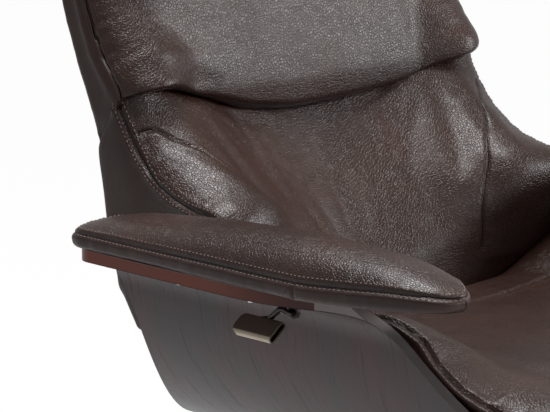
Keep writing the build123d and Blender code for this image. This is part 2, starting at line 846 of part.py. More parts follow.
with BuildPart() as hinge_bracket_right:
    with BuildSketch(Plane.YZ.offset(-hinge_bracket_inner - hinge_bracket_gauge)):
        with BuildLine():
            Polyline(
                (hinge_foot_front, shell_floor),
                (hinge_foot_rear, shell_floor),
                (hinge_foot_rear, hinge_shoulder),
                (hinge_y + hinge_eye_radius, hinge_z),
                (hinge_y - hinge_eye_radius, hinge_z),
                (hinge_foot_front, hinge_shoulder),
                close=True,
            )
        make_face()
        with Locations((hinge_y, hinge_z)):
            Circle(hinge_eye_radius)
    extrude(amount=hinge_bracket_gauge)
    with BuildSketch(Plane.XZ.offset(-hinge_foot_rear)):
        with BuildLine():
            Polyline(
                (-hinge_foot_outer, shell_floor_at(hinge_foot_outer)),
                (-hinge_foot_outer, shell_floor_at(hinge_foot_outer) + hinge_bracket_gauge),
                (-hinge_bracket_inner, shell_floor_at(hinge_foot_outer) + hinge_bracket_gauge),
                (-hinge_bracket_inner, shell_floor),
                (-shell_flat_half, shell_floor),
            )
            RadiusArc(
                (-shell_flat_half, shell_floor),
                (-hinge_foot_outer, shell_floor_at(hinge_foot_outer)),
                bend_radius - ply,
            )
        make_face()
    extrude(amount=hinge_foot_rear - hinge_foot_front)
    with Locations(Location((0, hinge_y, hinge_z), (0, 90, 0))):
        Cylinder(hinge_shaft_radius + seat_gap, 4 * hinge_foot_outer, mode=Mode.SUBTRACT)
    with Locations(*[(-hinge_bolt_x, y, shell_floor + 2 * hinge_bracket_gauge) for y in hinge_bolt_ys]):
        Hole(bolt_radius + seat_gap, 4 * hinge_bracket_gauge)
finish(hinge_bracket_right, "hinge_bracket_right")

# The left side repeats the right one, mirrored
for piece, name in (
    (seat_cleat_right, "seat_cleat_left"),
    (arm_pad_right, "arm_pad_left"),
    (pad_board_right, "pad_board_left"),
    (pad_screws_right, "pad_screws_left"),
    (hinge_bracket_right, "hinge_bracket_left"),
):
    with BuildPart() as mirrored:
        add(piece.part.mirror(Plane.YZ))
    finish(mirrored, name)

hinge_foot_top = shell_floor_at(hinge_foot_outer) + hinge_bracket_gauge

with BuildPart() as hinge_bolts:
    for side in (-1, 1):
        for y in hinge_bolt_ys:
            with Locations((side * hinge_bolt_x, y, hinge_foot_top)):
                Cylinder(
                    bolt_radius,
                    hinge_foot_top - shell_bottom + side_play,
                    align=(Align.CENTER, Align.CENTER, Align.MAX),
                )
            with BuildSketch(Plane.XY.offset(hinge_foot_top)):
                with Locations((side * hinge_bolt_x, y)):
                    RegularPolygon(nut_radius - 1, 6)
            extrude(amount=nut_height - 1)
            with Locations((side * hinge_bolt_x, y, shell_bottom - side_play)):
                Cone(
                    bolt_head_radius * 0.5,
                    bolt_head_radius * 0.9,
                    bolt_head_height - 1,
                    align=(Align.CENTER, Align.CENTER, Align.MAX),
                )
finish(hinge_bolts, "hinge_bolts")

shaft_half = hinge_bracket_inner + hinge_bracket_gauge + nut_height

with BuildPart() as hinge_shaft:
    with BuildSketch(Plane.YZ.offset(-shaft_half)):
        with Locations((hinge_y, hinge_z)):
            Circle(hinge_shaft_radius)
    extrude(amount=2 * shaft_half)
    for side in (-1, 1):
        with BuildSketch(Plane.YZ.offset(side * (hinge_bracket_inner + hinge_bracket_gauge + 0.2))):
            with Locations((hinge_y, hinge_z)):
                RegularPolygon(hinge_shaft_radius + 5, 6)
        extrude(amount=side * nut_height)
finish(hinge_shaft, "hinge_shaft")

# ================================================================ back frame: torque tube, crank and ears
tube_half = hinge_bracket_inner - side_play - bush_flange
tube_bore = hinge_tube_radius - hinge_tube_wall

BackCorner = namedtuple("BackCorner", "height y")


def lumbar_level(share):
    """Height at a share of the way from the bottom of the back to the seam between its cushions."""
    return back_bottom + share * (seam_side_height - back_bottom)


def back_level(share):
    """Height at a share of the way from that seam to the top of the back."""
    return seam_side_height + share * upper_back_height


# Front face of the back's board, from under the back to above it: it leans, breaks at the lumbar
# seam, then stands up
board_line = (
    BackCorner(back_bottom - 44, 186),
    BackCorner(back_bottom - 4, 200),
    BackCorner(lumbar_level(0.45), 238),
    BackCorner(seam_side_height, 277),
    BackCorner(back_level(0.23), 312),
    BackCorner(back_level(0.53), 356),
    BackCorner(back_level(0.775), 383),
    BackCorner(back_top - 4, 402),
    BackCorner(back_top + 36, 408),
)


def board_y(height):
    """Depth of the board's front face at a height, near enough for what is trimmed to it later."""
    return between(board_line, height)


def back_layer(front, rear):
    """Side view of a layer of the back, between two setbacks from the board line."""
    near = [(corner.y + front, corner.height) for corner in board_line]
    far = [(corner.y + rear, corner.height) for corner in reversed(board_line)]
    Spline(near)
    Line(near[-1], far[0])
    Spline(far)
    Line(far[-1], near[0])


ear_setback = backboard_thickness + seat_gap
ear_foot = back_bottom - ear_drop
ear_foot_y = board_y(ear_foot) + ear_setback

with BuildPart() as back_frame:
    with BuildSketch(Plane.YZ.offset(-tube_half)):
        with Locations((hinge_y, hinge_z)):
            Circle(hinge_tube_radius)
    extrude(amount=2 * tube_half)
    # Ears: flat bars that run back from the tube under the upholstery, then up behind the board
    for side in (-1, 1):
        with BuildSketch(Plane.YZ.offset(side * (ear_inner + ear_outer) / 2)):
            with BuildLine():
                back_layer(ear_setback, ear_setback + ear_gauge)
            make_face()
            with Locations((ear_foot_y, (ear_foot + ear_top) / 2)):
                Rectangle(back_top, ear_top - ear_foot, mode=Mode.INTERSECT)
            with BuildLine():
                Polyline(
                    (hinge_y, hinge_z + ear_link_half),
                    (ear_foot_y + ear_gauge / 2, hinge_z + ear_link_half),
                    (ear_foot_y + ear_gauge, hinge_z),
                    (ear_foot_y, hinge_z - ear_link_half),
                    (hinge_y, hinge_z - ear_link_half),
                    close=True,
                )
            make_face()
        extrude(amount=(ear_outer - ear_inner) / 2, both=True)
    # Crank: two arms that hang from the tube's middle and end in eyes for the pin
    for side in (-1, 1):
        with BuildSketch(Plane.YZ.offset(side * (crank_half_gap + crank_gauge / 2))):
            with BuildLine():
                Polyline(
                    (hinge_y - hinge_tube_radius * 0.95, hinge_z),
                    (hinge_y + hinge_tube_radius * 0.95, hinge_z),
                    (crank_y + crank_eye_radius * 0.98, crank_z + 2),
                    (crank_y - crank_eye_radius * 0.98, crank_z + 2),
                    close=True,
                )
            make_face()
            with Locations((crank_y, crank_z)):
                Circle(crank_eye_radius)
        extrude(amount=crank_gauge / 2, both=True)
    with Locations(Location((0, hinge_y, hinge_z), (0, 90, 0))):
        Cylinder(tube_bore, 4 * tube_half, mode=Mode.SUBTRACT)
    with Locations(Location((0, crank_y, crank_z), (0, 90, 0))):
        Cylinder(crank_pin_radius + seat_gap, 4 * crank_half_gap, mode=Mode.SUBTRACT)
finish(back_frame, "back_frame")

for side, name in ((-1, "hinge_bush_right"), (1, "hinge_bush_left")):
    with BuildPart() as hinge_bush:
        with BuildSketch(Plane.YZ.offset(side * (tube_half - bush_length / 2))):
            with Locations((hinge_y, hinge_z)):
                Circle(tube_bore - seat_gap)
        extrude(amount=side * (bush_length / 2 + bush_flange))
        with BuildSketch(Plane.YZ.offset(side * tube_half)):
            with Locations((hinge_y, hinge_z)):
                Circle(hinge_tube_radius)
        extrude(amount=side * bush_flange)
        with Locations(Location((0, hinge_y, hinge_z), (0, 90, 0))):
            Cylinder(hinge_shaft_radius + running_gap, 4 * tube_half, mode=Mode.SUBTRACT)
    finish(hinge_bush, name)

with BuildPart() as crank_pin:
    with BuildSketch(Plane.YZ.offset(-crank_half_gap - crank_gauge - 2)):
        with Locations((crank_y, crank_z)):
            Circle(crank_pin_radius)
    extrude(amount=2 * (crank_half_gap + crank_gauge + 2))
finish(crank_pin, "crank_pin")

# ================================================================ gas spring
cylinder_length = cylinder_rear - cylinder_front

with BuildPart() as spring_cylinder:
    with BuildSketch(Plane.XZ.offset(-cylinder_rear)):
        with Locations((0, spring_z)):
            Circle(cylinder_radius)
    extrude(amount=cylinder_length)
    with BuildSketch(Plane.XZ.offset(-cylinder_rear)):
        with Locations((0, spring_z)):
            Circle(cylinder_bore)
    extrude(amount=cylinder_length - cylinder_radius, mode=Mode.SUBTRACT)
    chamfer(spring_cylinder.edges().filter_by(GeomType.CIRCLE).sort_by(Axis.Y)[0], length=1)
finish(spring_cylinder, "spring_cylinder")

with BuildPart() as spring_gland:
    with BuildSketch(Plane.XZ.offset(-cylinder_rear)):
        with Locations((0, spring_z)):
            Circle(cylinder_bore - seat_gap)
            Circle(rod_radius + running_gap, mode=Mode.SUBTRACT)
    extrude(amount=gland_length)
finish(spring_gland, "spring_gland")

rod_end = crank_y - rod_eye_radius + 2
piston_rear = cylinder_rear - gland_length - rod_inside + piston_length

with BuildPart() as spring_rod:
    with BuildSketch(Plane.XZ.offset(-rod_end)):
        with Locations((0, spring_z)):
            Circle(rod_radius)
    extrude(amount=rod_end - piston_rear + piston_length)
    with BuildSketch(Plane.XZ.offset(-piston_rear)):
        with Locations((0, spring_z)):
            Circle(cylinder_bore - running_gap)
    extrude(amount=piston_length)
finish(spring_rod, "spring_rod")

with BuildPart() as rod_eye:
    with BuildSketch(Plane.YZ.offset(-rod_eye_half)):
        with Locations((crank_y, spring_z)):
            Circle(rod_eye_radius)
        with Locations((crank_y - rod_eye_radius - 4, spring_z)):
            Rectangle(16, 2 * rod_radius + 6)
        with Locations((crank_y, spring_z)):
            SlotCenterToCenter(
                2 * crank_sag + 0.6, 2 * (crank_pin_radius + soft_gap), rotation=90, mode=Mode.SUBTRACT
            )
    extrude(amount=2 * rod_eye_half)
    with BuildSketch(Plane.XZ.offset(-rod_end - seat_gap)):
        with Locations((0, spring_z)):
            Circle(rod_radius + seat_gap)
    extrude(amount=40, mode=Mode.SUBTRACT)
finish(rod_eye, "rod_eye")

# The release head clamps the closed end; its lug takes the front pin
head_rear = cylinder_front + head_socket
head_front = head_rear - head_length
pin_y = head_front - spring_lug_reach
head_top = 2 * spring_z - shell_floor - head_clearance
lug_bottom = shell_floor + spring_clevis_gauge + head_clearance

with BuildPart() as release_head:
    with BuildSketch(Plane.XY.offset(shell_floor + head_clearance)):
        with Locations((0, head_rear - head_length / 2)):
            RectangleRounded(2 * head_half_width, head_length, 5)
    extrude(amount=head_top - shell_floor - head_clearance)
    with BuildSketch(Plane.YZ.offset(-spring_lug_half)):
        with Locations((pin_y, spring_z)):
            Circle(spring_z - lug_bottom)
        with Locations(((pin_y + head_front + head_clearance) / 2, spring_z)):
            Rectangle(spring_lug_reach + head_clearance, 2 * (spring_z - lug_bottom))
    extrude(amount=2 * spring_lug_half)
    with BuildSketch(Plane.XZ.offset(-head_rear)):
        with Locations((0, spring_z)):
            Circle(cylinder_radius + seat_gap)
    extrude(amount=head_socket + seat_gap, mode=Mode.SUBTRACT)
    with Locations(Location((0, pin_y, spring_z), (0, 90, 0))):
        Cylinder(spring_pin_radius + seat_gap, 4 * head_half_width, mode=Mode.SUBTRACT)
    with Locations(Location((-head_half_width, cable_y, cable_floor), (0, 90, 0))):
        Cylinder(cable_radius + seat_gap, 2 * (cable_entry + seat_gap), mode=Mode.SUBTRACT)
finish(release_head, "release_head")

cheek_x = spring_lug_half + side_play + spring_clevis_gauge / 2

with BuildPart() as spring_clevis:
    with BuildSketch(Plane.XY.offset(shell_floor)):
        with Locations((0, pin_y)):
            Rectangle(2 * cheek_x + spring_clevis_gauge, 2 * spring_clevis_half)
    extrude(amount=spring_clevis_gauge)
    for side in (-1, 1):
        with BuildSketch(Plane.YZ.offset(side * cheek_x)):
            with Locations((pin_y, (shell_floor + spring_z) / 2)):
                Rectangle(2 * spring_clevis_half, spring_z - shell_floor)
            with Locations((pin_y, spring_z)):
                Circle(spring_clevis_half)
        extrude(amount=spring_clevis_gauge / 2, both=True)
    with Locations(Location((0, pin_y, spring_z), (0, 90, 0))):
        Cylinder(spring_pin_radius + seat_gap, 4 * head_half_width, mode=Mode.SUBTRACT)
finish(spring_clevis, "spring_clevis")

spring_pin_half = cheek_x + spring_clevis_gauge

with BuildPart() as spring_pin:
    with BuildSketch(Plane.YZ.offset(-spring_pin_half)):
        with Locations((pin_y, spring_z)):
            Circle(spring_pin_radius)
    extrude(amount=2 * spring_pin_half)
finish(spring_pin, "spring_pin")

# ================================================================ release lever and its cable
lever_wall_x = flare_half(lever_z, 0)
shaft_outer_x = lever_wall_x + lever_shaft_reach
bush_inner_x = flare_half(lever_z - lever_bush_flange, ply) - seat_gap - bush_flange
arm_outer_x = bush_inner_x - side_play

with BuildPart() as lever_bush:
    with BuildSketch(Plane.YZ.offset(-lever_wall_x - lever_bush_nose)):
        with Locations((lever_y, lever_z)):
            Circle(lever_bush_radius)
    extrude(amount=lever_wall_x + lever_bush_nose - bush_inner_x)
    with BuildSketch(Plane.YZ.offset(-bush_inner_x - bush_flange)):
        with Locations((lever_y, lever_z)):
            Circle(lever_bush_flange)
    extrude(amount=bush_flange)
    with BuildSketch(Plane.YZ.offset(-shaft_outer_x)):
        with Locations((lever_y, lever_z)):
            Circle(lever_shaft_radius + running_gap)
    extrude(amount=shaft_outer_x, mode=Mode.SUBTRACT)
finish(lever_bush, "lever_bush")

paddle_edge_x = paddle_x + (paddle_width / 2 - 1) * cos(radians(paddle_tilt))
paddle_edge_z = paddle_z + (paddle_width / 2 - 1) * sin(radians(paddle_tilt))
stem_start_y = paddle_front + stem_seat

with BuildPart() as lever_stem:
    with BuildLine() as stem_path:
        FilletPolyline(
            (paddle_edge_x - 2, stem_start_y + 10, paddle_edge_z - 2),
            (paddle_edge_x + 1, stem_start_y - 5, paddle_edge_z + 1),
            (-shaft_outer_x - 8, lever_y + 5, lever_z + 5),
            (-shaft_outer_x - 4, lever_y, lever_z),
            (-shaft_outer_x + 12, lever_y, lever_z),
            radius=4,
        )
    with BuildSketch(Plane(origin=stem_path.line @ 0, z_dir=stem_path.line % 0)):
        Circle(stem_radius)
    sweep()
    with BuildSketch(Plane.YZ.offset(-shaft_outer_x)):
        with Locations((lever_y, lever_z)):
            Circle(lever_shaft_radius)
    extrude(amount=shaft_outer_x - arm_outer_x + lever_arm_gauge + 1)
finish(lever_stem, "lever_stem")

# The paddle is a flattened tube, open at the front, with its rear end rounded and closed
paddle_length = paddle_rear - paddle_front
paddle_face = Plane(
    origin=(paddle_x, paddle_front, paddle_z),
    x_dir=(0, 1, 0),
    z_dir=(-sin(radians(paddle_tilt)), 0, cos(radians(paddle_tilt))),
)

with BuildPart() as paddle_hollow:
    with BuildSketch(Plane.XZ.offset(-paddle_rear + paddle_wall)):
        with Locations(Location((paddle_x, paddle_z), paddle_tilt)):
            SlotOverall(paddle_width - 2 * paddle_wall, paddle_depth - 2 * paddle_wall)
    extrude(amount=paddle_length)
    with BuildSketch(paddle_face):
        RectangleRounded(
            2 * (paddle_length - paddle_wall), paddle_width - 2 * paddle_wall, paddle_corner - paddle_wall
        )
    extrude(amount=paddle_width, both=True, mode=Mode.INTERSECT)

with BuildPart() as lever_paddle:
    with BuildSketch(Plane.XZ.offset(-paddle_rear)):
        with Locations(Location((paddle_x, paddle_z), paddle_tilt)):
            SlotOverall(paddle_width, paddle_depth)
    extrude(amount=paddle_length)
    with BuildSketch(paddle_face):
        RectangleRounded(2 * paddle_length, paddle_width, paddle_corner)
    extrude(amount=paddle_width, both=True, mode=Mode.INTERSECT)
    add(paddle_hollow.part, mode=Mode.SUBTRACT)
    add(lever_stem.part, mode=Mode.SUBTRACT)
finish(lever_paddle, "lever_paddle")

with BuildPart() as lever_arm:
    with BuildSketch(Plane.YZ.offset(-arm_outer_x)):
        with Locations((lever_y, lever_z)):
            Circle(lever_shaft_radius + 3.5)
        with Locations((lever_y + lever_arm_reach / 2, lever_z)):
            SlotOverall(lever_arm_reach + lever_arm_width, lever_arm_width)
        with Locations((lever_y, lever_z)):
            Circle(lever_shaft_radius + seat_gap, mode=Mode.SUBTRACT)
        with Locations((cable_y, lever_z)):
            Circle(wire_radius + seat_gap, mode=Mode.SUBTRACT)
    extrude(amount=lever_arm_gauge)
finish(lever_arm, "lever_arm")

# The cable runs from its stop under the lever's arm, down inside the shell wall and across its floor
cable_bend = bend_radius - cable_inset
stop_angle = degrees(acos((bend_centre_z - cable_stop) / cable_bend))
stop_x = shell_flat_half + cable_bend * sin(radians(stop_angle))

# The inner wire hooks through the arm and drops towards the cable's stop
with BuildPart() as cable_wire:
    with BuildLine() as wire_path:
        FilletPolyline(
            (-arm_outer_x - side_play / 2, cable_y, lever_z),
            (-stop_x, cable_y, lever_z),
            (-stop_x, cable_y, cable_stop + soft_gap),
            radius=wire_radius,
        )
    with BuildSketch(Plane(origin=wire_path.line @ 0, z_dir=wire_path.line % 0)):
        Circle(wire_radius)
    sweep()
finish(cable_wire, "cable_wire")

with BuildPart() as release_cable:
    with BuildLine(Plane.XZ.offset(-cable_y)) as cable_path:
        around = CenterArc((-shell_flat_half, bend_centre_z), cable_bend, -90 - stop_angle, stop_angle)
        Line(around @ 1, (cable_entry - head_half_width, cable_floor))
    with BuildSketch(Plane(origin=cable_path.line @ 0, z_dir=cable_path.line % 0)):
        Circle(cable_radius)
    sweep()
finish(release_cable, "release_cable")
print("cable length", sum(edge.length for edge in cable_path.edges()))

# Saddle clips hold the cable to the shell
with BuildPart() as cable_clips:
    for along in cable_clip_places:
        with BuildSketch(Plane(origin=around @ along, x_dir=(0, 1, 0), z_dir=around % along)):
            with Locations((0, (cable_clip_gauge - cable_rest + seat_gap) / 2)):
                Rectangle(
                    2 * (cable_radius + 2 * cable_clip_gauge),
                    2 * cable_radius + cable_clip_gauge + cable_rest - seat_gap,
                )
            Circle(cable_radius + seat_gap, mode=Mode.SUBTRACT)
        extrude(amount=cable_clip_width / 2, both=True)
finish(cable_clips, "cable_clips")

# ================================================================ back
# Bottom to top: height, rear face at the middle, its crown and half width
CoverStation = namedtuple("CoverStation", "height rear crown half")
cover_stations = (
    CoverStation(back_bottom + 2, 230, 22, 236),
    CoverStation(lumbar_level(0.19), 254, 16, 246),
    CoverStation(lumbar_level(0.385), 276, 11, 250),
    CoverStation(lumbar_level(0.625), 287, 9, 251),
    CoverStation(seam_side_height, 310, 9, 251),
    CoverStation(back_level(0.255), 353, 9, 248),
    CoverStation(back_level(0.53), 396, 9, 240),
    CoverStation(back_level(0.775), 421, 9, 229),
    CoverStation(back_level(0.9), 427, 9, 216),
    CoverStation(back_level(0.97), 427, 9, 192),
    CoverStation(back_top, 420, 9, 160),
)
board_bottom = back_bottom + 12


def board_outline(gap):
    """Face view of the back's board, set in from the cover's sides and let out by a gap."""
    low = board_bottom - gap
    high = backboard_top + gap
    side = [
        (station.half - backboard_side_margin + gap, station.height)
        for station in cover_stations
        if low < station.height < high
    ]
    corners = [(side[0][0], low), *side, (side[-1][0] - backboard_side_margin, high)]
    Polyline(*corners, *[(-x, height) for x, height in reversed(corners)], close=True)


with BuildPart() as backboard:
    with BuildSketch(Plane.YZ):
        with BuildLine():
            back_layer(0, backboard_thickness)
        make_face()
    extrude(amount=back_half_width, both=True)
    with BuildSketch(Plane.XZ):
        with BuildLine():
            board_outline(0)
        make_face()
    extrude(amount=-2 * back_top, mode=Mode.INTERSECT)
finish(backboard, "backboard")

# What the board takes out of the cover
with BuildPart() as board_pocket:
    with BuildSketch(Plane.YZ):
        with BuildLine():
            back_layer(-backboard_thickness, ear_setback)
        make_face()
    extrude(amount=back_half_width, both=True)
    with BuildSketch(Plane.XZ):
        with BuildLine():
            board_outline(seat_gap)
        make_face()
    extrude(amount=-2 * back_top, mode=Mode.INTERSECT)

with BuildPart() as back_cover:
    for station in cover_stations:
        with BuildSketch(Plane.XY.offset(station.height)):
            with BuildLine():
                front = board_y(station.height) - layer_overlap
                corner = station.rear - station.crown
                Line((-station.half, corner), (-station.half, front))
                Line((-station.half, front), (station.half, front))
                Line((station.half, front), (station.half, corner))
                ThreePointArc((station.half, corner), (0, station.rear), (-station.half, corner))
            make_face()
    loft()
    with BuildSketch(Plane.YZ):
        with BuildLine():
            back_layer(-back_half_width, 0)
        make_face()
    extrude(amount=2 * back_half_width, both=True, mode=Mode.SUBTRACT)
    add(board_pocket.part, mode=Mode.SUBTRACT)
    # Way for the frame's ears, open at the bottom
    with BuildSketch(Plane.YZ):
        with BuildLine():
            back_layer(0, ear_setback + ear_gauge + soft_gap)
        make_face()
        with Locations((ear_foot_y, ear_top + soft_gap)):
            Rectangle(
                back_top, back_top, align=(Align.CENTER, Align.MAX), mode=Mode.INTERSECT
            )
    extrude(amount=ear_outer + soft_gap, both=True, mode=Mode.SUBTRACT)
finish(back_cover, "back_cover")

# Side views of the lower cushion. Each starts above the seam and runs over the face and the knee to
# the nose, turns under it and ends at the foot. Towards the sides the knee comes forward, where it
# makes the wings that lie between the arms; at the very side the edge is drawn in.
Wing = namedtuple("Wing", "top face knee nose under foot")
middle_wing = Wing((254, 668), (231, 615), (200, 565), (172, 525), (150, 497), (129, back_bottom))
tip_wing = Wing((240, 700), (184, 624), (114, 593), (101, 576), (108, 548), (132, back_bottom))
side_wing = Wing((262, 700), (193, 618), (113, 590), (103, 575), (111, 549), (140, back_bottom))
drawn_wing = Wing((268, 695), (201, 610), (123, 583), (115, 571), (121, 553), (147, back_bottom))
wing_places = (0, 60, 120, 180, wing_tip_x)


def blend_wing(share):
    """The side view at a share of the way from the middle to the wing's tip."""
    return Wing(
        *[
            tuple(first + (second - first) * share for first, second in zip(inner, outer))
            for inner, outer in zip(middle_wing, tip_wing)
        ]
    )


wing_stations = [(x, blend_wing((x / wing_tip_x) ** 1.5)) for x in wing_places] + [
    (back_half_width + 1, side_wing),
    (back_half_width + 5, drawn_wing),
]


def seam_dip_line(drop):
    """Front view of the dipping seam between the two back cushions, moved up or down."""
    return ThreePointArc(
        (-2 * back_half_width, seam_side_height + 3 * seam_dip + drop),
        (0, seam_side_height - seam_dip + drop),
        (2 * back_half_width, seam_side_height + 3 * seam_dip + drop),
    )


def wing_section(wing):
    """Side view of the lower cushion, carried back past the board line, which trims it."""
    behind = board_y(back_bottom) + layer_overlap
    behind_top = wing.top[0] + 2 * layer_overlap
    ThreePointArc(wing.top, wing.face, wing.knee)
    ThreePointArc(wing.knee, wing.nose, wing.under)
    Polyline(wing.under, wing.foot, (behind, back_bottom), (behind_top, wing.top[1]), wing.top)


with BuildPart() as lower_back_cushion:
    for side, stations in ((-1, wing_stations[:0:-1]), (1, wing_stations)):
        for place, wing in stations:
            with BuildSketch(Plane.YZ.offset(side * place)):
                with BuildLine():
                    wing_section(wing)
                make_face()
    loft()
    with BuildSketch(Plane.YZ):
        with BuildLine():
            back_layer(-soft_gap, back_half_width)
        make_face()
    extrude(amount=2 * back_half_width, both=True, mode=Mode.SUBTRACT)
    # The upper cushion's lower edge dips across the front
    with BuildSketch(Plane.XZ):
        with BuildLine():
            seam = seam_dip_line(-soft_gap)
            Polyline(seam @ 1, (2 * back_half_width, back_top), (-2 * back_half_width, back_top), seam @ 0)
        make_face()
    extrude(amount=-2 * back_top, mode=Mode.SUBTRACT)
finish(lower_back_cushion, "lower_back_cushion")

# The upper cushion, bottom to top: height, crown at the middle, edge roll and half width
UpperStation = namedtuple("UpperStation", "height crown roll half")
upper_stations = (
    UpperStation(seam_side_height - seam_dip - 4, 36, 28, 236),
    UpperStation(seam_side_height, 55, 45, 250),
    UpperStation(back_level(0.105), 58, 43, 250),
    UpperStation(back_level(0.28), 56, 34, 248),
    UpperStation(back_level(0.53), 55, 29, 240),
    UpperStation(back_level(0.775), 54, 27, 228),
    UpperStation(back_level(0.9), 46, 22, 215),
    UpperStation(back_level(0.967), 34, 14, 190),
    UpperStation(back_top - 2, 22, 8, 160),
)
roll_inset = 26

with BuildPart() as upper_back_cushion:
    for station in upper_stations:
        with BuildSketch(Plane.XY.offset(station.height)):
            with BuildLine():
                rear = board_y(station.height) - soft_gap
                behind = rear + layer_overlap
                Line((-station.half, behind), (station.half, behind))
                for side in (1, -1):
                    edge = (side * station.half, rear)
                    shoulder = (side * (station.half - roll_inset), rear - station.roll)
                    bulge = (side * (station.half - roll_inset * 0.22), rear - station.roll * 0.66)
                    Line((side * station.half, behind), edge)
                    ThreePointArc(edge, bulge, shoulder)
                ThreePointArc(
                    (station.half - roll_inset, rear - station.roll),
                    (0, rear - station.crown),
                    (-station.half + roll_inset, rear - station.roll),
                )
            make_face()
    loft()
    with BuildSketch(Plane.YZ):
        with BuildLine():
            back_layer(-soft_gap, back_half_width)
        make_face()
    extrude(amount=2 * back_half_width, both=True, mode=Mode.SUBTRACT)
    with BuildSketch(Plane.XZ):
        with BuildLine():
            seam = seam_dip_line(0)
            Polyline(seam @ 1, (2 * back_half_width, 0), (-2 * back_half_width, 0), seam @ 0)
        make_face()
    extrude(amount=-2 * back_top, mode=Mode.SUBTRACT)
finish(upper_back_cushion, "upper_back_cushion")
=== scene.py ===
"""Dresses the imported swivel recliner: leather upholstery, stained plywood, metal and a studio."""

import logging
import math
from dataclasses import dataclass, field
from enum import Enum
from typing import Callable, Iterable, Sequence

import bmesh
import bpy
import numpy as np
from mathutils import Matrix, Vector, kdtree, noise
from mathutils.bvhtree import BVHTree


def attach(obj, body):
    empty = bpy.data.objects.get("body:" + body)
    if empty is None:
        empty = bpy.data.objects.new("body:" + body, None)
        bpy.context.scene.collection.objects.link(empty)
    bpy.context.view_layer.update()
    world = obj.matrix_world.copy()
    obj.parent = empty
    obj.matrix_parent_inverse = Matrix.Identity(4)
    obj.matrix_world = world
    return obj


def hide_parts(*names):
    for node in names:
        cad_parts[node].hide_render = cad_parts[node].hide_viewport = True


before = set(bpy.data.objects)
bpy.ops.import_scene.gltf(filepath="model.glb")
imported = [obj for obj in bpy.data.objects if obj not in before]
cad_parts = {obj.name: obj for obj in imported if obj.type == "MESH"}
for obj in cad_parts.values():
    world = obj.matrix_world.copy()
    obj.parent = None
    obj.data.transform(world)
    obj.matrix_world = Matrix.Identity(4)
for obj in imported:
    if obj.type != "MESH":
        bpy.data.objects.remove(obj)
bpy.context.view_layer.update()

MM = 0.001

logging.basicConfig(level=logging.INFO, format="%(message)s")
log = logging.getLogger("recliner")

Row = Sequence[float]
Grid = np.ndarray


# ---------------------------------------------------------------- curves and grids
def slopes(keys: np.ndarray, values: np.ndarray) -> np.ndarray:
    """Tangents that keep a curve through the keys free of overshoot.

    Args:
        keys: rising positions.
        values: one row of values per position.

    Returns:
        One row of slopes per position.
    """
    step = np.diff(keys)[:, None]
    rise = np.diff(values, axis=0) / step
    inner = np.zeros_like(values)
    same = rise[:-1] * rise[1:] > 0
    before = 2 * step[1:] + step[:-1]
    after = step[1:] + 2 * step[:-1]
    with np.errstate(divide="ignore", invalid="ignore"):
        mean = (before + after) / (before / rise[:-1] + after / rise[1:])
    inner[1:-1] = np.where(same, mean, 0.0)
    inner[0], inner[-1] = rise[0], rise[-1]
    return inner


def through(keys: Row, values: Sequence, at: np.ndarray) -> np.ndarray:
    """Reads a smooth curve through keyed values.

    Args:
        keys: rising positions.
        values: a number or a row of numbers per position.
        at: positions to read, held at the ends.

    Returns:
        The values at those positions, one row each, or one number each.
    """
    x = np.asarray(keys, float)
    y = np.asarray(values, float)
    flat = y.ndim == 1
    y = y[:, None] if flat else y
    slope = slopes(x, y)
    at = np.clip(np.atleast_1d(np.asarray(at, float)), x[0], x[-1])
    i = np.clip(np.searchsorted(x, at, side="right") - 1, 0, len(x) - 2)
    width = (x[i + 1] - x[i])[:, None]
    t = (at[:, None] - x[i][:, None]) / width
    out = (
        (2 * t**3 - 3 * t**2 + 1) * y[i]
        + (t**3 - 2 * t**2 + t) * width * slope[i]
        + (3 * t**2 - 2 * t**3) * y[i + 1]
        + (t**3 - t**2) * width * slope[i + 1]
    )
    return out[:, 0] if flat else out


def rounded(points: Sequence[Row], count: int) -> np.ndarray:
    """Draws an even curve through points, keyed by the distance between them."""
    p = np.asarray(points, float)
    run = np.concatenate([[0], np.cumsum(np.linalg.norm(np.diff(p, axis=0), axis=1))])
    fine = through(run, p, np.linspace(0, run[-1], 12 * count))
    along = np.concatenate([[0], np.cumsum(np.linalg.norm(np.diff(fine, axis=0), axis=1))])
    even = np.linspace(0, along[-1], count)
    return np.stack([np.interp(even, along, fine[:, k]) for k in range(p.shape[1])], axis=1)


def smoothstep(low: float, high: float, at: np.ndarray) -> np.ndarray:
    """Rises from 0 to 1 between two values."""
    t = np.clip((np.asarray(at, float) - low) / (high - low), 0, 1)
    return t * t * (3 - 2 * t)


def ripple(points: np.ndarray, scale: Row, seed: float) -> np.ndarray:
    """Soft noise from -1 to 1 at each point, with a scale per axis in waves per metre."""
    flat = points.reshape(-1, 3) * np.asarray(scale, float) + seed
    found = np.array([noise.noise(Vector(p)) for p in flat])
    return found.reshape(points.shape[:-1])


def mesh_object(name: str, points: np.ndarray, faces: Sequence[Sequence[int]]) -> bpy.types.Object:
    """Makes a smooth-shaded mesh object from points in metres and faces."""
    mesh = bpy.data.meshes.new(name)
    mesh.from_pydata([tuple(p) for p in points], [], faces)
    mesh.validate()
    mesh.polygons.foreach_set("use_smooth", [True] * len(mesh.polygons))
    thing = bpy.data.objects.new(name, mesh)
    bpy.context.scene.collection.objects.link(thing)
    return thing


def points_of(mesh: bpy.types.Mesh) -> np.ndarray:
    """The mesh's points in metres, one row each."""
    co = np.zeros(len(mesh.vertices) * 3)
    mesh.vertices.foreach_get("co", co)
    return co.reshape(-1, 3)


